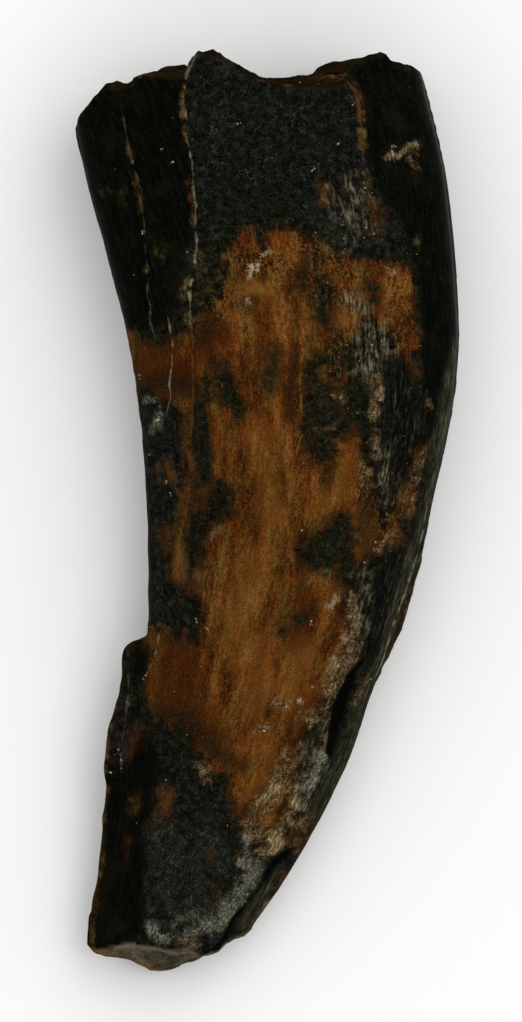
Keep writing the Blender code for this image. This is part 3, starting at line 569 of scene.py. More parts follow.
def soften(mesh, passes, corners, keep):
    """Melts small facets without shrinking the form, and corners along their own run only.

    keep is 1 where a vertex stays where it is.
    """
    places = read_vectors(mesh.vertices, "co")
    edges = mesh_edges(mesh)
    free = (1 - keep)[:, None]
    for _ in range(passes):
        for push in (0.6, -0.62):  # in, then out again a little further, so that nothing shrinks
            places += free * push * (neighbour_mean(places, edges, corners) - places)
    set_places(mesh, places)


def corner_strength(mesh):
    """1 where the surface turns sharply, as at the rims of the breaks, and 0 where it's smooth."""
    normals = read_vectors(mesh.vertex_normals, "vector")
    edges = mesh_edges(mesh)
    alike = np.einsum("ij,ij->i", normals[edges[:, 0]], normals[edges[:, 1]])
    turn = np.degrees(np.arccos(np.clip(alike, -1, 1)))
    most = np.zeros(len(normals))
    for end in (0, 1):
        np.maximum.at(most, edges[:, end], turn)
    return smooth_step(0.6 * SHARP_TURN, SHARP_TURN, most)


def broad_normals(mesh, passes):
    """Vertex normals averaged over their neighbourhood."""
    normals = read_vectors(mesh.vertex_normals, "vector")
    edges = mesh_edges(mesh)
    for _ in range(passes):
        normals = 0.5 * normals + 0.5 * neighbour_mean(normals, edges)
    return normals / np.linalg.norm(normals, axis=1)[:, None]


def spread(mesh, values, passes):
    """Carries high values out over the surface beside them, fading with distance."""
    edges = mesh_edges(mesh)
    values = values[:, None]
    for _ in range(passes):
        values = np.maximum(values, 1.25 * neighbour_mean(values, edges))
    return np.clip(values[:, 0], 0, 1)


# ---------------------------------------------------------------- the tooth's skin


def fine_skin():
    """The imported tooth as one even, fine mesh in mm, with its facets melted, and 1 along its sharp rims."""
    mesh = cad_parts["tooth"].data.copy()
    mesh.materials.clear()
    mesh.transform(Matrix.Scale(1 / MM, 4))
    bm = bmesh.new()
    bm.from_mesh(mesh)
    bmesh.ops.remove_doubles(bm, verts=bm.verts, dist=MERGE_DISTANCE)
    bm.to_mesh(mesh)
    bm.free()
    skin = link("tooth_skin", mesh)
    remesh = skin.modifiers.new("even_grid", "REMESH")
    remesh.mode = "SHARP"
    remesh.octree_depth = GRID_DEPTH
    remesh.scale = GRID_SHARE
    remesh.use_remove_disconnected = False
    apply_modifiers(skin)
    corners = corner_strength(skin.data)
    places = read_vectors(skin.data.vertices, "co")
    near_breaks = smooth_step(7.0, 7.6, np.abs(places[:, 1] - MIDDLE))
    soften(skin.data, FACET_SMOOTHING, corners, near_breaks * corners)
    restore_edges(skin.data, outer_edges(places))
    return skin, spread(skin.data, corners, RIM_SPREAD)


def edges_at(stations, places, reach):
    """The x of the tooth's left and right edge at each station along it, seen from above."""
    bands = [places[np.abs(places[:, 1] - station) < reach, 0] for station in stations]
    return np.array([band.min() for band in bands]), np.array([band.max() for band in bands])


def fibre_places(places):
    """Places that follow the tooth's taper: x runs from edge to edge by the same amount all along it."""
    stations = np.arange(-8.4, 7.9, 0.2)
    left, right = edges_at(stations, places, 0.15)
    start = np.polynomial.Polynomial.fit(stations, left, 3)(places[:, 1])
    end = np.polynomial.Polynomial.fit(stations, right, 3)(places[:, 1])
    return np.stack([FIBRE_SPAN * (places[:, 0] - start) / (end - start), places[:, 1], places[:, 2]], axis=1)


def outer_edges(places):
    """Stations along the tooth, and the x of its left and right edge at each."""
    stations = np.arange(-8.5, 8.6, 0.1)
    return stations, *edges_at(stations, places, 0.08)


def distance_in(places):
    """How far in from the tooth's left and right edge each place lies, in mm, seen from above."""
    stations, left, right = outer_edges(places)
    x, y = places[:, 0], places[:, 1]
    return x - np.interp(y, stations, left), np.interp(y, stations, right) - x


def restore_edges(mesh, wanted):
    """Moves the left and right edge back out to where they were, where melting the facets drew them in."""
    places = read_vectors(mesh.vertices, "co")
    from_left, from_right = distance_in(places)
    stations, left, right = outer_edges(places)
    _, wanted_left, wanted_right = wanted
    for lost, distance in ((wanted_left - left, from_left), (wanted_right - right, from_right)):
        even = np.convolve(np.pad(lost, 2, mode="edge"), np.full(5, 0.2), mode="valid")
        places[:, 0] += smooth_step(0.6, 0.0, distance) * np.interp(places[:, 1], stations, even)
    set_places(mesh, places)


def read_fields(places, normals):
    """What the relief and the materials need to know about each vertex, by name."""
    stray = WANDER * np.stack([rough_waves(places, 0.55, seed=11), rough_waves(places, 0.7, seed=21)], axis=1)
    ragged = places[:, :2] + stray
    neat = places[:, :2] + NEAT * stray
    upper = smooth_step(-0.3, 0.1, normals[:, 2])
    facing_an_end = smooth_step(0.4, 0.6, np.abs(normals[:, 1]))

    def both(above, below=-FARTHEST):
        return np.clip(upper * above + (1 - upper) * below, -FARTHEST, FARTHEST)

    fields = {
        "upper": upper,
        "base_break": facing_an_end * (places[:, 1] > BASE_FROM),
        "tip_break": facing_an_end * (places[:, 1] < TIP_FROM),
        "fibre_place": fibre_places(places),
        "brown": both(outline_reach(ragged, BROWN_OUTLINE), outline_reach(ragged, UNDER_BROWN_OUTLINE)),
        "stain": both(stroke_reach(ragged, BLACK_STAINS), stroke_reach(ragged, UNDER_BLACK_STAINS)),
        "crust": both(stroke_reach(ragged, CRUST), stroke_reach(ragged, UNDER_CRUST)),
    }
    fields["from_left"], fields["from_right"] = distance_in(places)
    for name, strokes in BOTH_SIDES.items():
        fields[name] = both(stroke_reach(ragged, strokes), stroke_reach(ragged - UNDER_SHIFT, strokes))
    for name, strokes in UPPER_ONLY.items():
        fields[name] = both(stroke_reach(ragged, strokes))
    for name, strokes in NEAT_MARKS.items():
        fields[name] = both(stroke_reach(neat, strokes))
    for name, outlines in OUTLINED.items():
        fields[name] = both(np.max([outline_reach(neat, outline) for outline in outlines], axis=0))
    for name, line in LINES.items():
        fields[name], abreast = line_offset(neat, line)
        fields[name + "_abreast"] = abreast * (1 - upper if name == "under_crack" else upper)
    fields["base_rust"] -= 0.4 * smooth_step(2.3, 1.7, places[:, 2])  # there's less of it low down
    return fields


def near_line(fields, name, half_width):
    """1 on a line, and 0 from its half width out."""
    return fields[name + "_abreast"] * smooth_step(half_width, CRACK_FLOOR * half_width, np.abs(fields[name]))


def relief(places, fields, rims):
    """How far each vertex moves out along its normal, in mm. The rims keep the model's own shape."""
    fibres = fields["fibre_place"]
    brown = smooth_step(-SOFT_EDGE, SOFT_EDGE, np.maximum(fields["brown"], fields["spot"]))
    polish = smooth_step(-SOFT_EDGE, SOFT_EDGE, fields["polish"]) * (1 - brown)
    scoured = smooth_step(-SOFT_EDGE, SOFT_EDGE, fields["scoured"])
    crust = np.max([fields[name] for name in ("crust", "grey_crust", "plate")], axis=0)
    crust = smooth_step(-0.04, 0.08, crust + 0.08 * rough_waves(places, CRUST_SIZE, seed=41))
    bevelled = smooth_step(-SOFT_EDGE, 0.05, np.maximum(fields["edge_band"], fields["rusty_edge"]))
    leather = (1 - brown) * (1 - polish) * (1 - bevelled)
    flake = smooth_step(-0.02, 0.05, fields["flake_crack"]) * smooth_step(*FLAKE_REACH, fields["flake_crack"])
    flake *= fields["upper"] * smooth_step(*FLAKE_FROM, places[:, 1])
    broken = fields["base_break"] + fields["tip_break"]

    height = leather * CREASE_HEIGHT * creases(places, CREASE_SIZE, seed=51)
    height += brown * FIBRE_HEIGHT * rough_waves(fibres, FIBRE_SIZE, seed=61)
    height += brown * FIBRE_HEIGHT * rough_waves(places, FRAY_SIZE, seed=66)
    height += scoured * SCOUR_HEIGHT * rough_waves(fibres, SCOUR_SIZE, seed=71)
    height += crust * CRUST_THICKNESS * (0.7 + creases(places, CRUST_SIZE, seed=81, octaves=3))
    height -= WORN_DEPTH * smooth_step(-0.05, 0.2, fields["brown"])
    height *= 1 - broken
    height += SWELL_HEIGHT * rough_waves(places, SWELL_SIZE, seed=31, octaves=2) * (1 - 0.6 * polish)
    height += LIFTED_FLAKE * flake
    for name in (name for name in LINES if name.endswith("crack")):
        height -= CRACK_DEPTH * near_line(fields, name, CRACK_HALF_WIDTH)
    height -= GROOVE_DEPTH * smooth_step(-0.06, 0.1, fields["groove"])
    height -= HOLLOW_DEPTH * smooth_step(-SOFT_EDGE, SOFT_EDGE, fields["hollow"])
    rubble = rough_waves(places, BREAK_SIZE, seed=91) + 0.5 * creases(places, RUBBLE_SIZE, seed=95)
    height += broken * BREAK_HEIGHT * rubble
    return height * (1 - rims)


def tooth_skin():
    """The tooth's whole surface, with its relief in the mesh and its marks as attributes for the material."""
    skin, rims = fine_skin()
    mesh = skin.data
    places = read_vectors(mesh.vertices, "co")
    fields = read_fields(places, broad_normals(mesh, SIDE_SMOOTHING))
    outwards = broad_normals(mesh, RELIEF_SMOOTHING)
    moved = places + outwards * relief(places, fields, rims)[:, None]
    moved[:, 2] = np.maximum(moved[:, 2], 0.0)  # nothing sinks into what the tooth lies on
    set_places(mesh, moved)
    fields["base_rim"] = rims * smooth_step(6.9, 7.4, places[:, 1])
    for name, values in fields.items():
        store(mesh, name, values)
    mesh.shade_smooth()
    return skin


# ---------------------------------------------------------------- what the enamel is drawn with

NOISES = {  # where each is read, its cells per mm, and its detail, roughness and distortion
    # Bundles of enamel prisms are 0.005 mm across: drawn at 0.03 mm and more, so that they show.
    "fibres": ("streaked", 22.0, 3.0, 0.6, 0.0),
    "hairs": ("drawn_out", 20.0, 3.0, 0.6, 0.0),
    "clouds": ("streaked", 3.2, 6.0, 0.6, 0.0),
    "hue": ("streaked", 4.0, 5.0, 0.6, 0.0),
    "patches": ("place", 1.4, 5.0, 0.6, 0.0),
    "mottle": ("place", 4.5, 6.0, 0.65, 0.0),
    "wrinkles": ("place", 7.0, 5.0, 0.68, 0.35),
    "folds": ("place", 5.0, 2.0, 0.5, 0.5),
    "grain": ("place", 24.0, 2.0, 0.5, 0.0),
    "specks": ("place", 38.0, 1.0, 0.5, 0.0),
    "dashes": ("place", 5.0, 3.0, 0.5, 0.0),
}
MIXTURES = {  # two noises in one: the share of the second, then the first and the second
    "bundles": (0.45, "fibres", "grain"),
    "tone": (0.5, "bundles", "clouds"),
    "swing": (0.4, "mottle", "clouds"),
    "fringe": (0.28, "swing", "hairs"),
    "scratches": (0.4, "hairs", "fibres"),
    "lumps": (0.5, "mottle", "wrinkles"),
    "grooves": (0.35, "scratches", "lumps"),
    "crusty": (0.4, "lumps", "fibres"),
    "gritty": (0.35, "crusty", "grain"),
    "layered": (0.3, "patches", "mottle"),
    "grainy": (0.5, "patches", "gritty"),
}
RAMPS = {  # a finish's noise, and its colours from that noise's low levels to its high ones
    # The blacks read the same wrinkles as the bump: darker in their hollows, painted shade, and paler on
    # their crests, painted light.
    "green_black": ("wrinkles", (0.36, "050603"), (0.46, "0b0d08"), (0.54, "12150f"), (0.65, "22271f")),
    "grey_black": ("wrinkles", (0.36, "060504"), (0.46, "0d0c0a"), (0.54, "151414"), (0.65, "262524")),
    "glossy_black": ("hairs", (0.4, "030402"), (0.52, "060704"), (0.62, "0a0c07"), (0.76, "15170f")),
    "olive_brown": (
        "tone", (0.4, "281503"), (0.466, "42280a"), (0.518, "573912"), (0.57, "69491d"), (0.66, "836133"),
    ),
    "red_brown": (
        "tone", (0.4, "280f03"), (0.466, "421f06"), (0.518, "582c0a"), (0.57, "6b3a13"), (0.66, "835229"),
    ),
    "olive_film": ("lumps", (0.44, "0b0c06"), (0.49, "1d1b0c"), (0.54, "332d15"), (0.6, "4c4323")),
    "faint_grain": ("scratches", (0.44, "060704"), (0.53, "0f110b"), (0.6, "24261b"), (0.68, "4b4c3c")),
    # the scoured grain's pale stops are painted glints
    "grain_and_painted_glints": ("grooves", (0.43, "070603"), (0.475, "1f1b12"), (0.515, "403a2a"), (0.585, "746f59")),
    "tan_crust": ("gritty", (0.42, "231a0e"), (0.475, "3f301c"), (0.525, "5d4b31"), (0.59, "8d7856")),
    "green_crust": ("gritty", (0.42, "22221b"), (0.475, "434338"), (0.525, "626152"), (0.59, "8f8c79")),
    "pale_plates": ("fibres", (0.38, "4a3b23"), (0.48, "6c5a3b"), (0.58, "8f7e5b"), (0.68, "b0a27f")),
    "silt": ("crusty", (0.41, "281909"), (0.48, "453115"), (0.54, "604b26"), (0.62, "75694c")),
    "red_silt": ("crusty", (0.41, "180d05"), (0.48, "2f1a0a"), (0.54, "4b2f15"), (0.62, "6d5331")),
    "mixed_silt": ("mottle", (0.4, "3d3018"), (0.46, "626a58"), (0.51, "54401f"), (0.58, "857e66")),
    "edge_wear_and_sheen": ("scratches", (0.4, "14140d"), (0.48, "242419"), (0.55, "343324"), (0.64, "55533f")),
    "rusty_edge": ("mottle", (0.4, "150e06"), (0.48, "2a1c0d"), (0.56, "402d15"), (0.66, "644a27")),
    "bloom": ("gritty", (0.42, "0b0d08"), (0.49, "1b1d16"), (0.54, "2e2f26"), (0.61, "505143")),
    "fresh_chip": ("mottle", (0.38, "3f3622"), (0.47, "7d7155"), (0.54, "9a8f70"), (0.64, "bdb394")),
    "dark_dentine": ("layered", (0.38, "0c0804"), (0.47, "160f06"), (0.55, "22180b"), (0.66, "382912")),
    "grey_dentine": ("grainy", (0.41, "26241a"), (0.475, "3e392d"), (0.53, "564d3d"), (0.6, "7b6d54")),
    "rust": ("mottle", (0.38, "180c04"), (0.48, "2f1a0a"), (0.56, "4a2f14"), (0.66, "755629")),
}
GREYS = {"level": 0.5, "leathery": 0.45, "satin": 0.5, "gloss": 0.3, "dull": 0.9}  # for bump and roughness

# Layers lie over each other in this order. Each has its finish, or the hex of its only colour, the mark that
# it lies inside, the noise that moves its edge, by how many mm at most, how soft that edge is in mm, and how
# much of the finish shows.
BROWN_LAYERS = [
    ("341402", "dark_red", "swing", 0.3, 0.25, 0.8),
    ("7c4c19", "orange", "swing", 0.3, 0.25, 0.3),
    ("976c30", "amber", "swing", 0.3, 0.2, 0.35),
    ("1a1108", "veil", "swing", 0.3, 0.16, 0.75),
]
STAINED_LAYERS = [
    ("whole_glaze", "polish", "mottle", 0.08, 0.1, 0.95),
    ("201004", "brown", "fringe", 0.6, 0.22, 0.75),
    ("worn_brown", "brown", "fringe", 0.6, 0.1, 1.0),
    ("worn_brown", "spot", "swing", 0.3, 0.16, 0.68),
    ("worn_brown", "dim_spot", "swing", 0.35, 0.16, 0.3),
    ("olive_film", "olive_spot", "swing", 0.4, 0.12, 0.7),
    ("1a0f06", "stain", "swing", 0.6, 0.26, 0.7),
    ("black_glaze", "stain", "swing", 0.6, 0.13, 0.93),
]
WORN_LAYERS = [
    ("torn_scraps", "torn", "crusty", 0.3, 0.12, 1.0),
    ("faint_grain", "dark_strip", "swing", 0.4, 0.12, 0.9),
    ("grain_and_painted_glints", "scoured", "swing", 0.4, 0.16, 0.85),
]
MINERAL_LAYERS = [
    ("tan_crust", "crust", "swing", 0.4, 0.1, 0.85),
    ("green_crust", "grey_crust", "swing", 0.35, 0.1, 0.85),
    ("pale_plates", "plate", "crusty", 0.12, 0.05, 0.8),
    ("silt", "fill", "mottle", 0.12, 0.05, 0.75),
    ("red_silt", "red_fill", "mottle", 0.12, 0.05, 0.8),
]
EDGE_LAYERS = [
    # near black in the hollow behind the keel: painted shade
    ("070804", "hollow", "mottle", 0.05, 0.12, 0.85),
    # the olive grey along the bulging edge is painted sheen over the worn enamel there
    ("edge_wear_and_sheen", "edge_band", "mottle", 0.08, 0.08, 0.85),
    ("rusty_edge", "rusty_edge", "mottle", 0.08, 0.05, 0.85),
]
DUST_AND_SHADOW_LAYERS = [
    ("bloom", "dusty", "swing", 0.5, 0.25, 0.6),
    ("050604", "groove", "mottle", 0.05, 0.035, 0.95),
]
CHIP_LAYERS = [("fresh_chip", "chip_scar", "grain", 0.08, 0.03, 0.85)]
BREAK_LAYERS = [
    ("rust", "base_rust", "mottle", 0.08, 0.05, 0.85),
    ("74572e", "tip_ochre", "mottle", 0.12, 0.05, 0.65),
    # the tip rim's pale grey is partly a painted highlight
    ("706c58", "tip_rim", "mottle", 0.04, 0.04, 0.7),
]
ROUGHNESS_LAYERS = [
    ("gloss", "polish", "mottle", 0.08, 0.08, 1.0),
    ("satin", "brown", "swing", 0.5, 0.2, 1.0),
    ("dull", "crust", "swing", 0.4, 0.1, 1.0),
]
BUMP_LAYERS = [
    ("level", "polish", "mottle", 0.08, 0.08, 0.85),
    ("tone", "brown", "swing", 0.5, 0.14, 1.0),
    ("grooves", "scoured", "swing", 0.4, 0.2, 1.0),
    ("crusty", "crust", "swing", 0.4, 0.1, 1.0),
]
CRACKS_AND_HAIRS = [  # each line's finish or its only colour, half its width in mm, and how much of it shows
    ("flake_crack", "mixed_silt", 0.018, 0.85),
    ("left_crack", "45402f", 0.011, 0.75),
    ("lower_crack", "563f20", 0.01, 0.6),
    ("short_crack", "7c7460", 0.01, 0.75),
    ("right_crack", "4b3d24", 0.014, 0.7),
    ("bright_fibre", "755725", 0.012, 0.5),
    # the keel's pale broken line is a painted highlight: glints along its ridge
    ("keel_line", "4f4b3a", 0.009, 0.55),
    ("ledge_line", "6b5d40", 0.014, 0.65),
    ("under_crack", "65563a", 0.016, 0.8),
]
# the pale line along the bevel is a painted highlight on its ridge
EDGE_LINES = [("hair_line", "38392b", 0.008, 0.7), ("bevel", "7b7962", 0.008, 0.7)]
MARGINS = [  # painted rim light along the outermost rims. Each row: a rim's field, its colour, the levels where it starts and is full, and how much of it shows
    ("from_left", "362a10", 0.06, 0.01, 0.5),
    # the olive along the bulging side is a painted reflection
    ("from_right", "31331d", 0.08, 0.01, 0.4),
    ("base_rim", "2c240e", 0.85, 1.05, 0.55),
]
FOLDS = [  # each line's level in its noise and half its width there, how much of it shows, and its colour
    (0.485, 0.016, 0.7, "030402"),  # a shaded fold
    (0.512, 0.011, 0.32, "54574c"),  # and the glint beside it
]
LIGHT_FROM, LIGHT_TO = 0.54, 0.74  # the levels between which the palest specks fade in: painted glints, and bits of pale mineral
DARK_FROM, DARK_TO = 0.46, 0.26  # and the darkest specks, painted shade of tiny pits
PATCHES_FROM, PATCHES_TO = 0.44, 0.56  # the levels between which the broad patches change over
FOLDS_FROM, FOLDS_TO = 0.46, 0.56  # and the mottling's levels between which the folds fade in
WARM_FROM, WARM_TO = -0.9, -0.1  # how far outside the brown the black begins to warm, and is at its warmest
WARMTH = (1.0, 0.98, 0.6, 1.0)  # what the warmest black is multiplied by

# ---------------------------------------------------------------- materials


def linear(hex_colour):
    """An sRGB hex colour as linear RGBA."""
    parts = [int(hex_colour[i : i + 2], 16) / 255 for i in (0, 2, 4)]
    return (*[p / 12.92 if p <= 0.04045 else ((p + 0.055) / 1.055) ** 2.4 for p in parts], 1.0)


def add(tree, kind, inputs=None, stops=None, **settings):
    """Adds a node with its settings, and gives back its first output.

    An input is a value, or an output of another node to link from. A colour ramp also takes its stops.
    """
    made = tree.nodes.new(kind)
    for name, value in settings.items():
        setattr(made, name, value)
    for name, value in (inputs or {}).items():
        if isinstance(value, bpy.types.NodeSocket):
            tree.links.new(value, made.inputs[name])
        else:
            made.inputs[name].default_value = value
    if stops:
        elements = made.color_ramp.elements
        while len(elements) < len(stops):
            elements.new(0.5)
        for element, (place, colour) in zip(elements, stops):
            element.position = place
            element.color = linear(colour)
    return next(output for output in made.outputs if output.enabled) if made.outputs else made


def new_material(name):
    """A material with only a Principled shader, its tree, and the place on the piece in mm."""
    made = bpy.data.materials.new(name)
    made.use_nodes = True
    tree = made.node_tree
    metres = add(tree, "ShaderNodeTexCoord").node.outputs["Object"]
    place = add(tree, "ShaderNodeMapping", {"Vector": metres, "Scale": (1 / MM,) * 3})
    return made, tree, tree.nodes["Principled BSDF"], place


def pick(palette, finish):
    return palette[finish] if finish in palette else linear(finish)


def lay(tree, palette, colour, layers):
    """Lays finishes over a colour, each inside its mark. A noise around 0.5 moves the mark's edge."""
    for finish, mark, noise, stray, soft, most in layers:
        reach = add(tree, "ShaderNodeAttribute", attribute_name=mark).node.outputs["Fac"]
        moved = {0: palette[noise], 1: 2 * stray, 2: -stray}
        moved = add(tree, "ShaderNodeMath", moved, operation="MULTIPLY_ADD")
        total = add(tree, "ShaderNodeMath", {0: reach, 1: moved}, operation="ADD")
        share = {"Value": total, "From Min": -soft, "From Max": soft, "To Max": most}
        share = add(tree, "ShaderNodeMapRange", share, interpolation_type="SMOOTHSTEP")
        layer = {0: share, 6: colour, 7: pick(palette, finish)}
        colour = add(tree, "ShaderNodeMix", layer, data_type="RGBA")
    return colour


def draw(tree, palette, colour, lines):
    """Draws lines over a colour. Each is wider where the dashes are high, and has gaps where they are low."""
    for line, finish, half_width, most in lines:
        offset = add(tree, "ShaderNodeAttribute", attribute_name=line).node.outputs["Fac"]
        abreast = add(tree, "ShaderNodeAttribute", attribute_name=line + "_abreast").node.outputs["Fac"]
        distance = add(tree, "ShaderNodeMath", {0: offset}, operation="ABSOLUTE")
        width = {0: palette["dashes"], 1: 13 * half_width, 2: -5.8 * half_width}
        width = add(tree, "ShaderNodeMath", width, operation="MULTIPLY_ADD")
        inside = add(tree, "ShaderNodeMath", {0: width, 1: distance}, operation="SUBTRACT")
        share = {"Value": inside, "From Min": -0.012, "From Max": 0.012, "To Max": most}
        share = add(tree, "ShaderNodeMapRange", share)
        share = add(tree, "ShaderNodeMath", {0: share, 1: abreast}, operation="MULTIPLY")
        layer = {0: share, 6: colour, 7: pick(palette, finish)}
        colour = add(tree, "ShaderNodeMix", layer, data_type="RGBA")
    return colour


def scatter(tree, colour, noise, *spots):
    """Scatters spots over a colour: each kind fades in between two levels of the noise, up to its most."""
    for hex_colour, start, full, most in spots:
        share = {"Value": noise, "From Min": start, "From Max": full, "To Max": most}
        share = add(tree, "ShaderNodeMapRange", share)
        colour = add(tree, "ShaderNodeMix", {0: share, 6: colour, 7: linear(hex_colour)}, data_type="RGBA")
    return colour


def speckle(tree, palette, colour, light, most_light, dark, most_dark):
    """The finest specks: pale ones, both bits of mineral and painted glints, and dark ones, painted shade of
    tiny pits.
    """
    lights = (light, LIGHT_FROM, LIGHT_TO, most_light)
    return scatter(tree, colour, palette["specks"], lights, (dark, DARK_FROM, DARK_TO, most_dark))


def black_glaze(tree, palette):
    """The outer enamel, stained black by manganese: leathery, green or grey by place, warm by the brown, with
    painted shade in its folds, a painted glint beside each fold, and painted glints among its specks.
    """
    share = {"Value": palette["patches"], "From Min": PATCHES_FROM, "From Max": PATCHES_TO}
    share = add(tree, "ShaderNodeMapRange", share)
    blacks = {0: share, 6: palette["green_black"], 7: palette["grey_black"]}
    colour = add(tree, "ShaderNodeMix", blacks, data_type="RGBA")
    for level, half_width, most, hex_colour in FOLDS:
        fold = {0: palette["folds"], 1: level, 2: half_width}
        fold = add(tree, "ShaderNodeMath", fold, operation="COMPARE")
        shown = {"Value": palette["mottle"], "From Min": FOLDS_FROM, "From Max": FOLDS_TO, "To Max": most}
        shown = add(tree, "ShaderNodeMapRange", shown)
        share = add(tree, "ShaderNodeMath", {0: fold, 1: shown}, operation="MULTIPLY")
        colour = add(tree, "ShaderNodeMix", {0: share, 6: colour, 7: linear(hex_colour)}, data_type="RGBA")
    warm = {0: 1.0, 6: colour, 7: WARMTH}
    warm = add(tree, "ShaderNodeMix", warm, data_type="RGBA", blend_type="MULTIPLY")
    reach = add(tree, "ShaderNodeAttribute", attribute_name="brown").node.outputs["Fac"]
    share = add(tree, "ShaderNodeMapRange", {"Value": reach, "From Min": WARM_FROM, "From Max": WARM_TO})
    colour = add(tree, "ShaderNodeMix", {0: share, 6: colour, 7: warm}, data_type="RGBA")
    return speckle(tree, palette, colour, "74776a", 0.08, "060503", 0.35)


def whole_glaze(tree, palette):
    """The same enamel where it's whole and glossy: near black, with faint hairs and olive clouds."""
    colour = scatter(tree, palette["glossy_black"], palette["patches"], ("171408", 0.52, 0.66, 0.6))
    return speckle(tree, palette, colour, "5b5e52", 0.05, "020301", 0.3)


def worn_brown(tree, palette):
    """The enamel under the black, stained brown by iron: streaked, olive in places and red in others."""
    share = add(tree, "ShaderNodeMapRange", {"Value": palette["hue"], "From Min": 0.43, "From Max": 0.57})
    browns = {0: share, 6: palette["olive_brown"], 7: palette["red_brown"]}
    colour = add(tree, "ShaderNodeMix", browns, data_type="RGBA")
    colour = lay(tree, palette, colour, BROWN_LAYERS)
    return speckle(tree, palette, colour, "a08e68", 0.1, "2c1202", 0.45)


def torn_scraps(tree, palette, colour):
    """Where the last of the black is flaking: black and tan scraps in brown, each under 0.1 mm across."""
    black, tan = ("0c0b06", 0.5, 0.44, 0.7), ("806a3c", 0.52, 0.62, 0.35)
    return scatter(tree, colour, palette["gritty"], black, tan)


def margins_with_painted_rim_light(tree, palette, colour):
    """The outermost rims: painted rim light, a brown glow on the hollow side and an olive painted reflection
    on the bulging side, and brown along the base's rim.
    """
    stray = add(tree, "ShaderNodeMath", {0: palette["mottle"], 1: 0.3, 2: -0.15}, operation="MULTIPLY_ADD")
    gaps = {"Value": palette["patches"], "From Min": PATCHES_FROM, "From Max": PATCHES_TO}
    gaps = add(tree, "ShaderNodeMapRange", gaps)
    for rim, hex_colour, start, full, most in MARGINS:
        reach = add(tree, "ShaderNodeAttribute", attribute_name=rim).node.outputs["Fac"]
        moved = add(tree, "ShaderNodeMath", {0: reach, 1: stray}, operation="ADD")
        share = {"Value": moved, "From Min": start, "From Max": full, "To Max": most}
        share = add(tree, "ShaderNodeMapRange", share)
        share = add(tree, "ShaderNodeMath", {0: share, 1: gaps}, operation="MULTIPLY")
        colour = add(tree, "ShaderNodeMix", {0: share, 6: colour, 7: linear(hex_colour)}, data_type="RGBA")
    return colour


def cover_breaks(tree, below, on_base, on_tip):
    """Puts a finish on each of the two breaks."""
    for mark, above in (("base_break", on_base), ("tip_break", on_tip)):
        share = add(tree, "ShaderNodeAttribute", attribute_name=mark).node.outputs["Fac"]
        below = add(tree, "ShaderNodeMix", {0: share, 6: below, 7: above}, data_type="RGBA")
    return below


def enamel_palette(tree, place):
    """Every noise and finish that the enamel is drawn with, by name."""
    along = add(tree, "ShaderNodeAttribute", attribute_name="fibre_place").node.outputs["Vector"]
    palette = {name: (level, level, level, 1) for name, level in GREYS.items()}
    palette["place"] = place
    palette["streaked"] = add(tree, "ShaderNodeMapping", {"Vector": along, "Scale": (1, 0.3, 0.5)})
    palette["drawn_out"] = add(tree, "ShaderNodeMapping", {"Vector": along, "Scale": (1, 0.1, 0.5)})
    for name, (where, *levels) in NOISES.items():
        settings = dict(zip(("Scale", "Detail", "Roughness", "Distortion"), levels))
        palette[name] = add(tree, "ShaderNodeTexNoise", {"Vector": palette[where], **settings})
    for name, (share, first, second) in MIXTURES.items():
        palette[name] = add(tree, "ShaderNodeMix", {0: share, 2: palette[first], 3: palette[second]})
    for name, (noise, *stops) in RAMPS.items():
        palette[name] = add(tree, "ShaderNodeValToRGB", {"Fac": palette[noise]}, stops=stops)
    for glaze in (black_glaze, whole_glaze, worn_brown):
        palette[glaze.__name__] = glaze(tree, palette)
    return palette


def fossil_enamel():
    """Fossil enamel: hydroxyapatite stained by the rock it lay in, black outside and brown where it's worn.

    It's a natural glaze over a fibrous body. The black is glossy where it's whole and leathery where it has
    shrunk, the brown is satin and streaked, scoured parts show a fine grain with painted silvery glints, and
    mineral crust is dull and tan. Cracks hold sediment. The break at the base is dark dentine with rust on
    it, and the one at the tip is greyer, with a bruised rim that carries a painted highlight. Painted shade,
    glints, sheen and rim light stand in for light in places.
    """
    made, tree, shader, place = new_material("fossil_enamel")
    palette = enamel_palette(tree, place)

    colour = lay(tree, palette, palette["black_glaze"], STAINED_LAYERS)
    palette["torn_scraps"] = torn_scraps(tree, palette, colour)
    colour = lay(tree, palette, colour, WORN_LAYERS + MINERAL_LAYERS)
    colour = draw(tree, palette, colour, CRACKS_AND_HAIRS)
    colour = lay(tree, palette, colour, EDGE_LAYERS)
    colour = draw(tree, palette, colour, EDGE_LINES)
    colour = lay(tree, palette, colour, DUST_AND_SHADOW_LAYERS)
    colour = margins_with_painted_rim_light(tree, palette, colour)
    colour = lay(tree, palette, colour, CHIP_LAYERS)
    colour = cover_breaks(tree, colour, palette["dark_dentine"], palette["grey_dentine"])
    colour = lay(tree, palette, colour, BREAK_LAYERS)
    tree.links.new(colour, shader.inputs["Base Color"])

    roughness = lay(tree, palette, palette["leathery"], ROUGHNESS_LAYERS)
    roughness = cover_breaks(tree, roughness, palette["dull"], palette["dull"])
    tree.links.new(roughness, shader.inputs["Roughness"])
    shader.inputs["IOR"].default_value = 1.5
    shader.inputs["Specular IOR Level"].default_value = 0.003

    height = lay(tree, palette, palette["wrinkles"], BUMP_LAYERS)
    bump = add(tree, "ShaderNodeBump", {"Height": height, "Strength": 1.0, "Distance": 0.05 * MM})
    tree.links.new(bump, shader.inputs["Normal"])
    return made


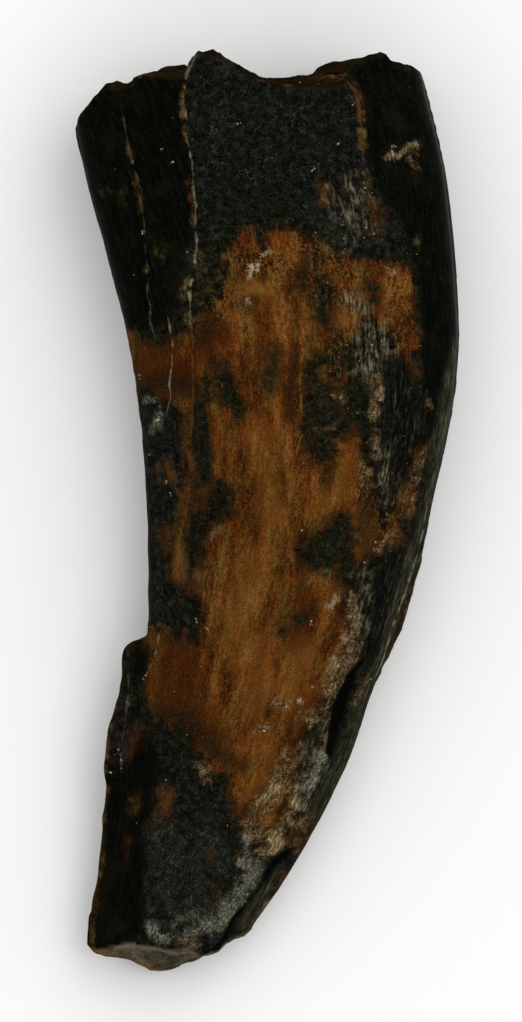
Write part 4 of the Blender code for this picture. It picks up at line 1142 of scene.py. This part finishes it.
def sediment_grain():
    """Calcite and quartz grains from the rock, stuck on: dry, pale and matt, and each a little different."""
    made, tree, shader, place = new_material("sediment_grain")
    tone = add(tree, "ShaderNodeTexNoise", {"Vector": place, "Scale": 14.0, "Detail": 2.0})
    stops = [(0.35, "50442e"), (0.5, "83775b"), (0.66, "bdb292")]
    colour = add(tree, "ShaderNodeValToRGB", {"Fac": tone}, stops=stops)
    tree.links.new(colour, shader.inputs["Base Color"])
    shader.inputs["Roughness"].default_value = 0.7
    shader.inputs["Specular IOR Level"].default_value = 0.05
    return made


def matt_card():
    """Matt white card: pulp with no coating, so it's even and has no shine."""
    made, _, shader, _ = new_material("matt_card")
    shader.inputs["Base Color"].default_value = linear("fbfbfa")
    shader.inputs["Roughness"].default_value = 1.0
    shader.inputs["Specular IOR Level"].default_value = 0.0
    return made


# ---------------------------------------------------------------- grains stuck to the tooth

FULL_TURN = 6.28  # radians


def chips(picks):
    """Loose (x, y, radius) chips, a few anywhere within each of the strokes that they're scattered in."""
    made = []
    small, large = CHIP_RADII
    for stroke in PALE_CHIPS:
        for _ in range(CHIPS_PER_STROKE):
            first = int(picks.integers(len(stroke)))
            start, end = np.array(stroke[first]), np.array(stroke[first - 1])
            x, y, reach = start + (end - start) * picks.random()
            away = reach * picks.random() ** 0.5
            turn = 2 * np.pi * picks.random()
            radius = small + (large - small) * picks.random() ** 2
            made.append((x + away * np.cos(turn), y + away * np.sin(turn), radius))
    return made


def grain_points(skin):
    """Where grains sit, in mm, and their radii: large ones listed, and dust where the surface is rough."""
    mesh = skin.data
    tree = BVHTree.FromPolygons([v.co for v in mesh.vertices], [p.vertices for p in mesh.polygons])
    picks = np.random.default_rng(PICK_SEED)
    places, radii = [], []
    for x, y, radius in STUCK_GRAINS + chips(picks):
        spot = tree.ray_cast(Vector((x, y, 9.0)), Vector((0, 0, -1)))[0]
        if spot:
            places.append(spot - Vector((0, 0, 0.3 * radius)))
            radii.append(radius)
    small, large = GRAIN_RADII
    weight = 1 + 6 * (read_numbers(mesh, "crust") > -0.05) + 3 * (read_numbers(mesh, "scoured") > 0)
    weight = weight * np.where(read_numbers(mesh, "polish") > 0, 0.25, 1)
    weight = weight * np.where(read_numbers(mesh, "brown") > 0.2, 0.5, 1)
    weight = weight * (read_vectors(mesh.vertices, "co")[:, 2] > 2 * large)
    chosen = picks.choice(len(weight), GRAIN_COUNT, replace=False, p=weight / weight.sum())
    places += [mesh.vertices[int(index)].co for index in chosen]
    radii += list(small + (large - small) * picks.random(GRAIN_COUNT) ** 3)
    return places, np.array(radii)


def grain_tree(material):
    """Geometry Nodes that set an angular grain at each point, turned at random, with the point's radius."""
    tree = bpy.data.node_groups.new("stuck_grains", "GeometryNodeTree")
    for name, way, kind in (
        ("Geometry", "INPUT", "NodeSocketGeometry"),
        ("Flatness", "INPUT", "NodeSocketFloat"),
        ("Seed", "INPUT", "NodeSocketInt"),
        ("Geometry", "OUTPUT", "NodeSocketGeometry"),
    ):
        tree.interface.new_socket(name, in_out=way, socket_type=kind)
    source = add(tree, "NodeGroupInput").node
    ball = add(tree, "GeometryNodeMeshIcoSphere", {"Radius": 1.0, "Subdivisions": 1})
    shape = add(tree, "ShaderNodeTexNoise", {"Scale": 1.3}).node.outputs["Color"]
    push = add(tree, "ShaderNodeVectorMath", {0: shape, 1: (-0.5, -0.5, -0.5)}, operation="ADD")
    lumpy = add(tree, "GeometryNodeSetPosition", {"Geometry": ball, "Offset": push})
    turn = add(
        tree,
        "FunctionNodeRandomValue",
        {"Max": (FULL_TURN,) * 3, "Seed": source.outputs["Seed"]},
        data_type="FLOAT_VECTOR",
    )
    radius = add(tree, "GeometryNodeInputNamedAttribute", {"Name": "radius"}, data_type="FLOAT")
    flat = add(tree, "ShaderNodeCombineXYZ", {0: 1.0, 1: 1.0, 2: source.outputs["Flatness"]})
    scale = add(tree, "ShaderNodeVectorMath", {0: flat, "Scale": radius}, operation="SCALE")
    placed = add(
        tree,
        "GeometryNodeInstanceOnPoints",
        {"Points": source.outputs["Geometry"], "Instance": lumpy, "Rotation": turn, "Scale": scale},
    )
    real = add(tree, "GeometryNodeRealizeInstances", {"Geometry": placed})
    finished = add(tree, "GeometryNodeSetMaterial", {"Geometry": real, "Material": material})
    add(tree, "NodeGroupOutput", {0: finished})
    return tree


def stuck_grains(skin, material):
    places, radii = grain_points(skin)
    mesh = bpy.data.meshes.new("stuck_grains")
    mesh.from_pydata(places, [], [])
    store(mesh, "radius", radii)
    grains = link("stuck_grains", mesh)
    scatter = grains.modifiers.new("stuck_grains", "NODES")
    scatter.node_group = grain_tree(material)
    inputs = {"Flatness": GRAIN_FLATNESS, "Seed": TURN_SEED}
    for socket in scatter.node_group.interface.items_tree:
        if socket.name in inputs:
            scatter[socket.identifier] = inputs[socket.name]
    apply_modifiers(grains)
    return grains


# ---------------------------------------------------------------- the studio

SOFT_BOXES = {  # each one's direction from the tooth, and its power in watts
    "right_box": ((0.85, 0.45, 0.95), 0.95),
    "back_box": ((-0.1, 0.9, 0.8), 0.5),
    "left_box": ((-0.9, -0.1, 0.6), 0.3),
    "front_box": ((0.1, -0.9, 0.75), 0.32),
}
BOX_SIZE, BOX_DISTANCE = 0.5, 0.42  # m
FLOOR_REACH = 0.6  # m, from its middle to each side


def camera():
    """Looks straight down at the tooth from far off, with its base at the top of the picture."""
    lens, sensor = 600.0, 36.0
    view_height = 19.96  # mm, at the height of the tooth's two edges
    edge_height = 1.65
    data = bpy.data.cameras.new("camera")
    data.lens = lens
    data.sensor_width = sensor
    data.clip_start = 0.01
    made = link("camera", data)
    made.location = Vector((-0.12, 0.02, edge_height + view_height * lens / sensor)) * MM
    bpy.context.scene.camera = made


def soft_boxes():
    """Square area lights, all facing the tooth."""
    for name, (aim, power) in SOFT_BOXES.items():
        data = bpy.data.lights.new(name, "AREA")
        data.size = BOX_SIZE
        data.energy = power
        direction = Vector(aim).normalized()
        made = link(name, data)
        made.location = direction * BOX_DISTANCE
        made.rotation_euler = direction.to_track_quat("Z", "Y").to_euler()


def floor():
    bm = bmesh.new()
    bmesh.ops.create_grid(bm, x_segments=1, y_segments=1, size=FLOOR_REACH)
    mesh = bpy.data.meshes.new("floor")
    bm.to_mesh(mesh)
    bm.free()
    mesh.transform(Matrix.Translation((0, 0, -0.02 * MM)))  # just clear of the tooth
    mesh.materials.append(matt_card())
    link("floor", mesh)


def dim_room():
    """The faint, even light of the room round the boxes."""
    world = bpy.data.worlds.new("dim_room")
    world.use_nodes = True
    background = world.node_tree.nodes["Background"]
    background.inputs["Color"].default_value = (1, 1, 1, 1)
    background.inputs["Strength"].default_value = 0.5
    bpy.context.scene.world = world
    bpy.context.scene.view_settings.view_transform = "Standard"


# ---------------------------------------------------------------- putting it together


def finish(piece):
    """Brings a finished piece from millimetres to metres and sets it on the tooth's body."""
    piece.data.transform(Matrix.Scale(MM, 4))
    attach(piece, "root")


def main():
    camera()
    floor()
    soft_boxes()
    dim_room()
    skin = tooth_skin()
    skin.data.materials.clear()
    skin.data.materials.append(fossil_enamel())
    grains = stuck_grains(skin, sediment_grain())
    finish(skin)
    finish(grains)
    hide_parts("tooth")


main()
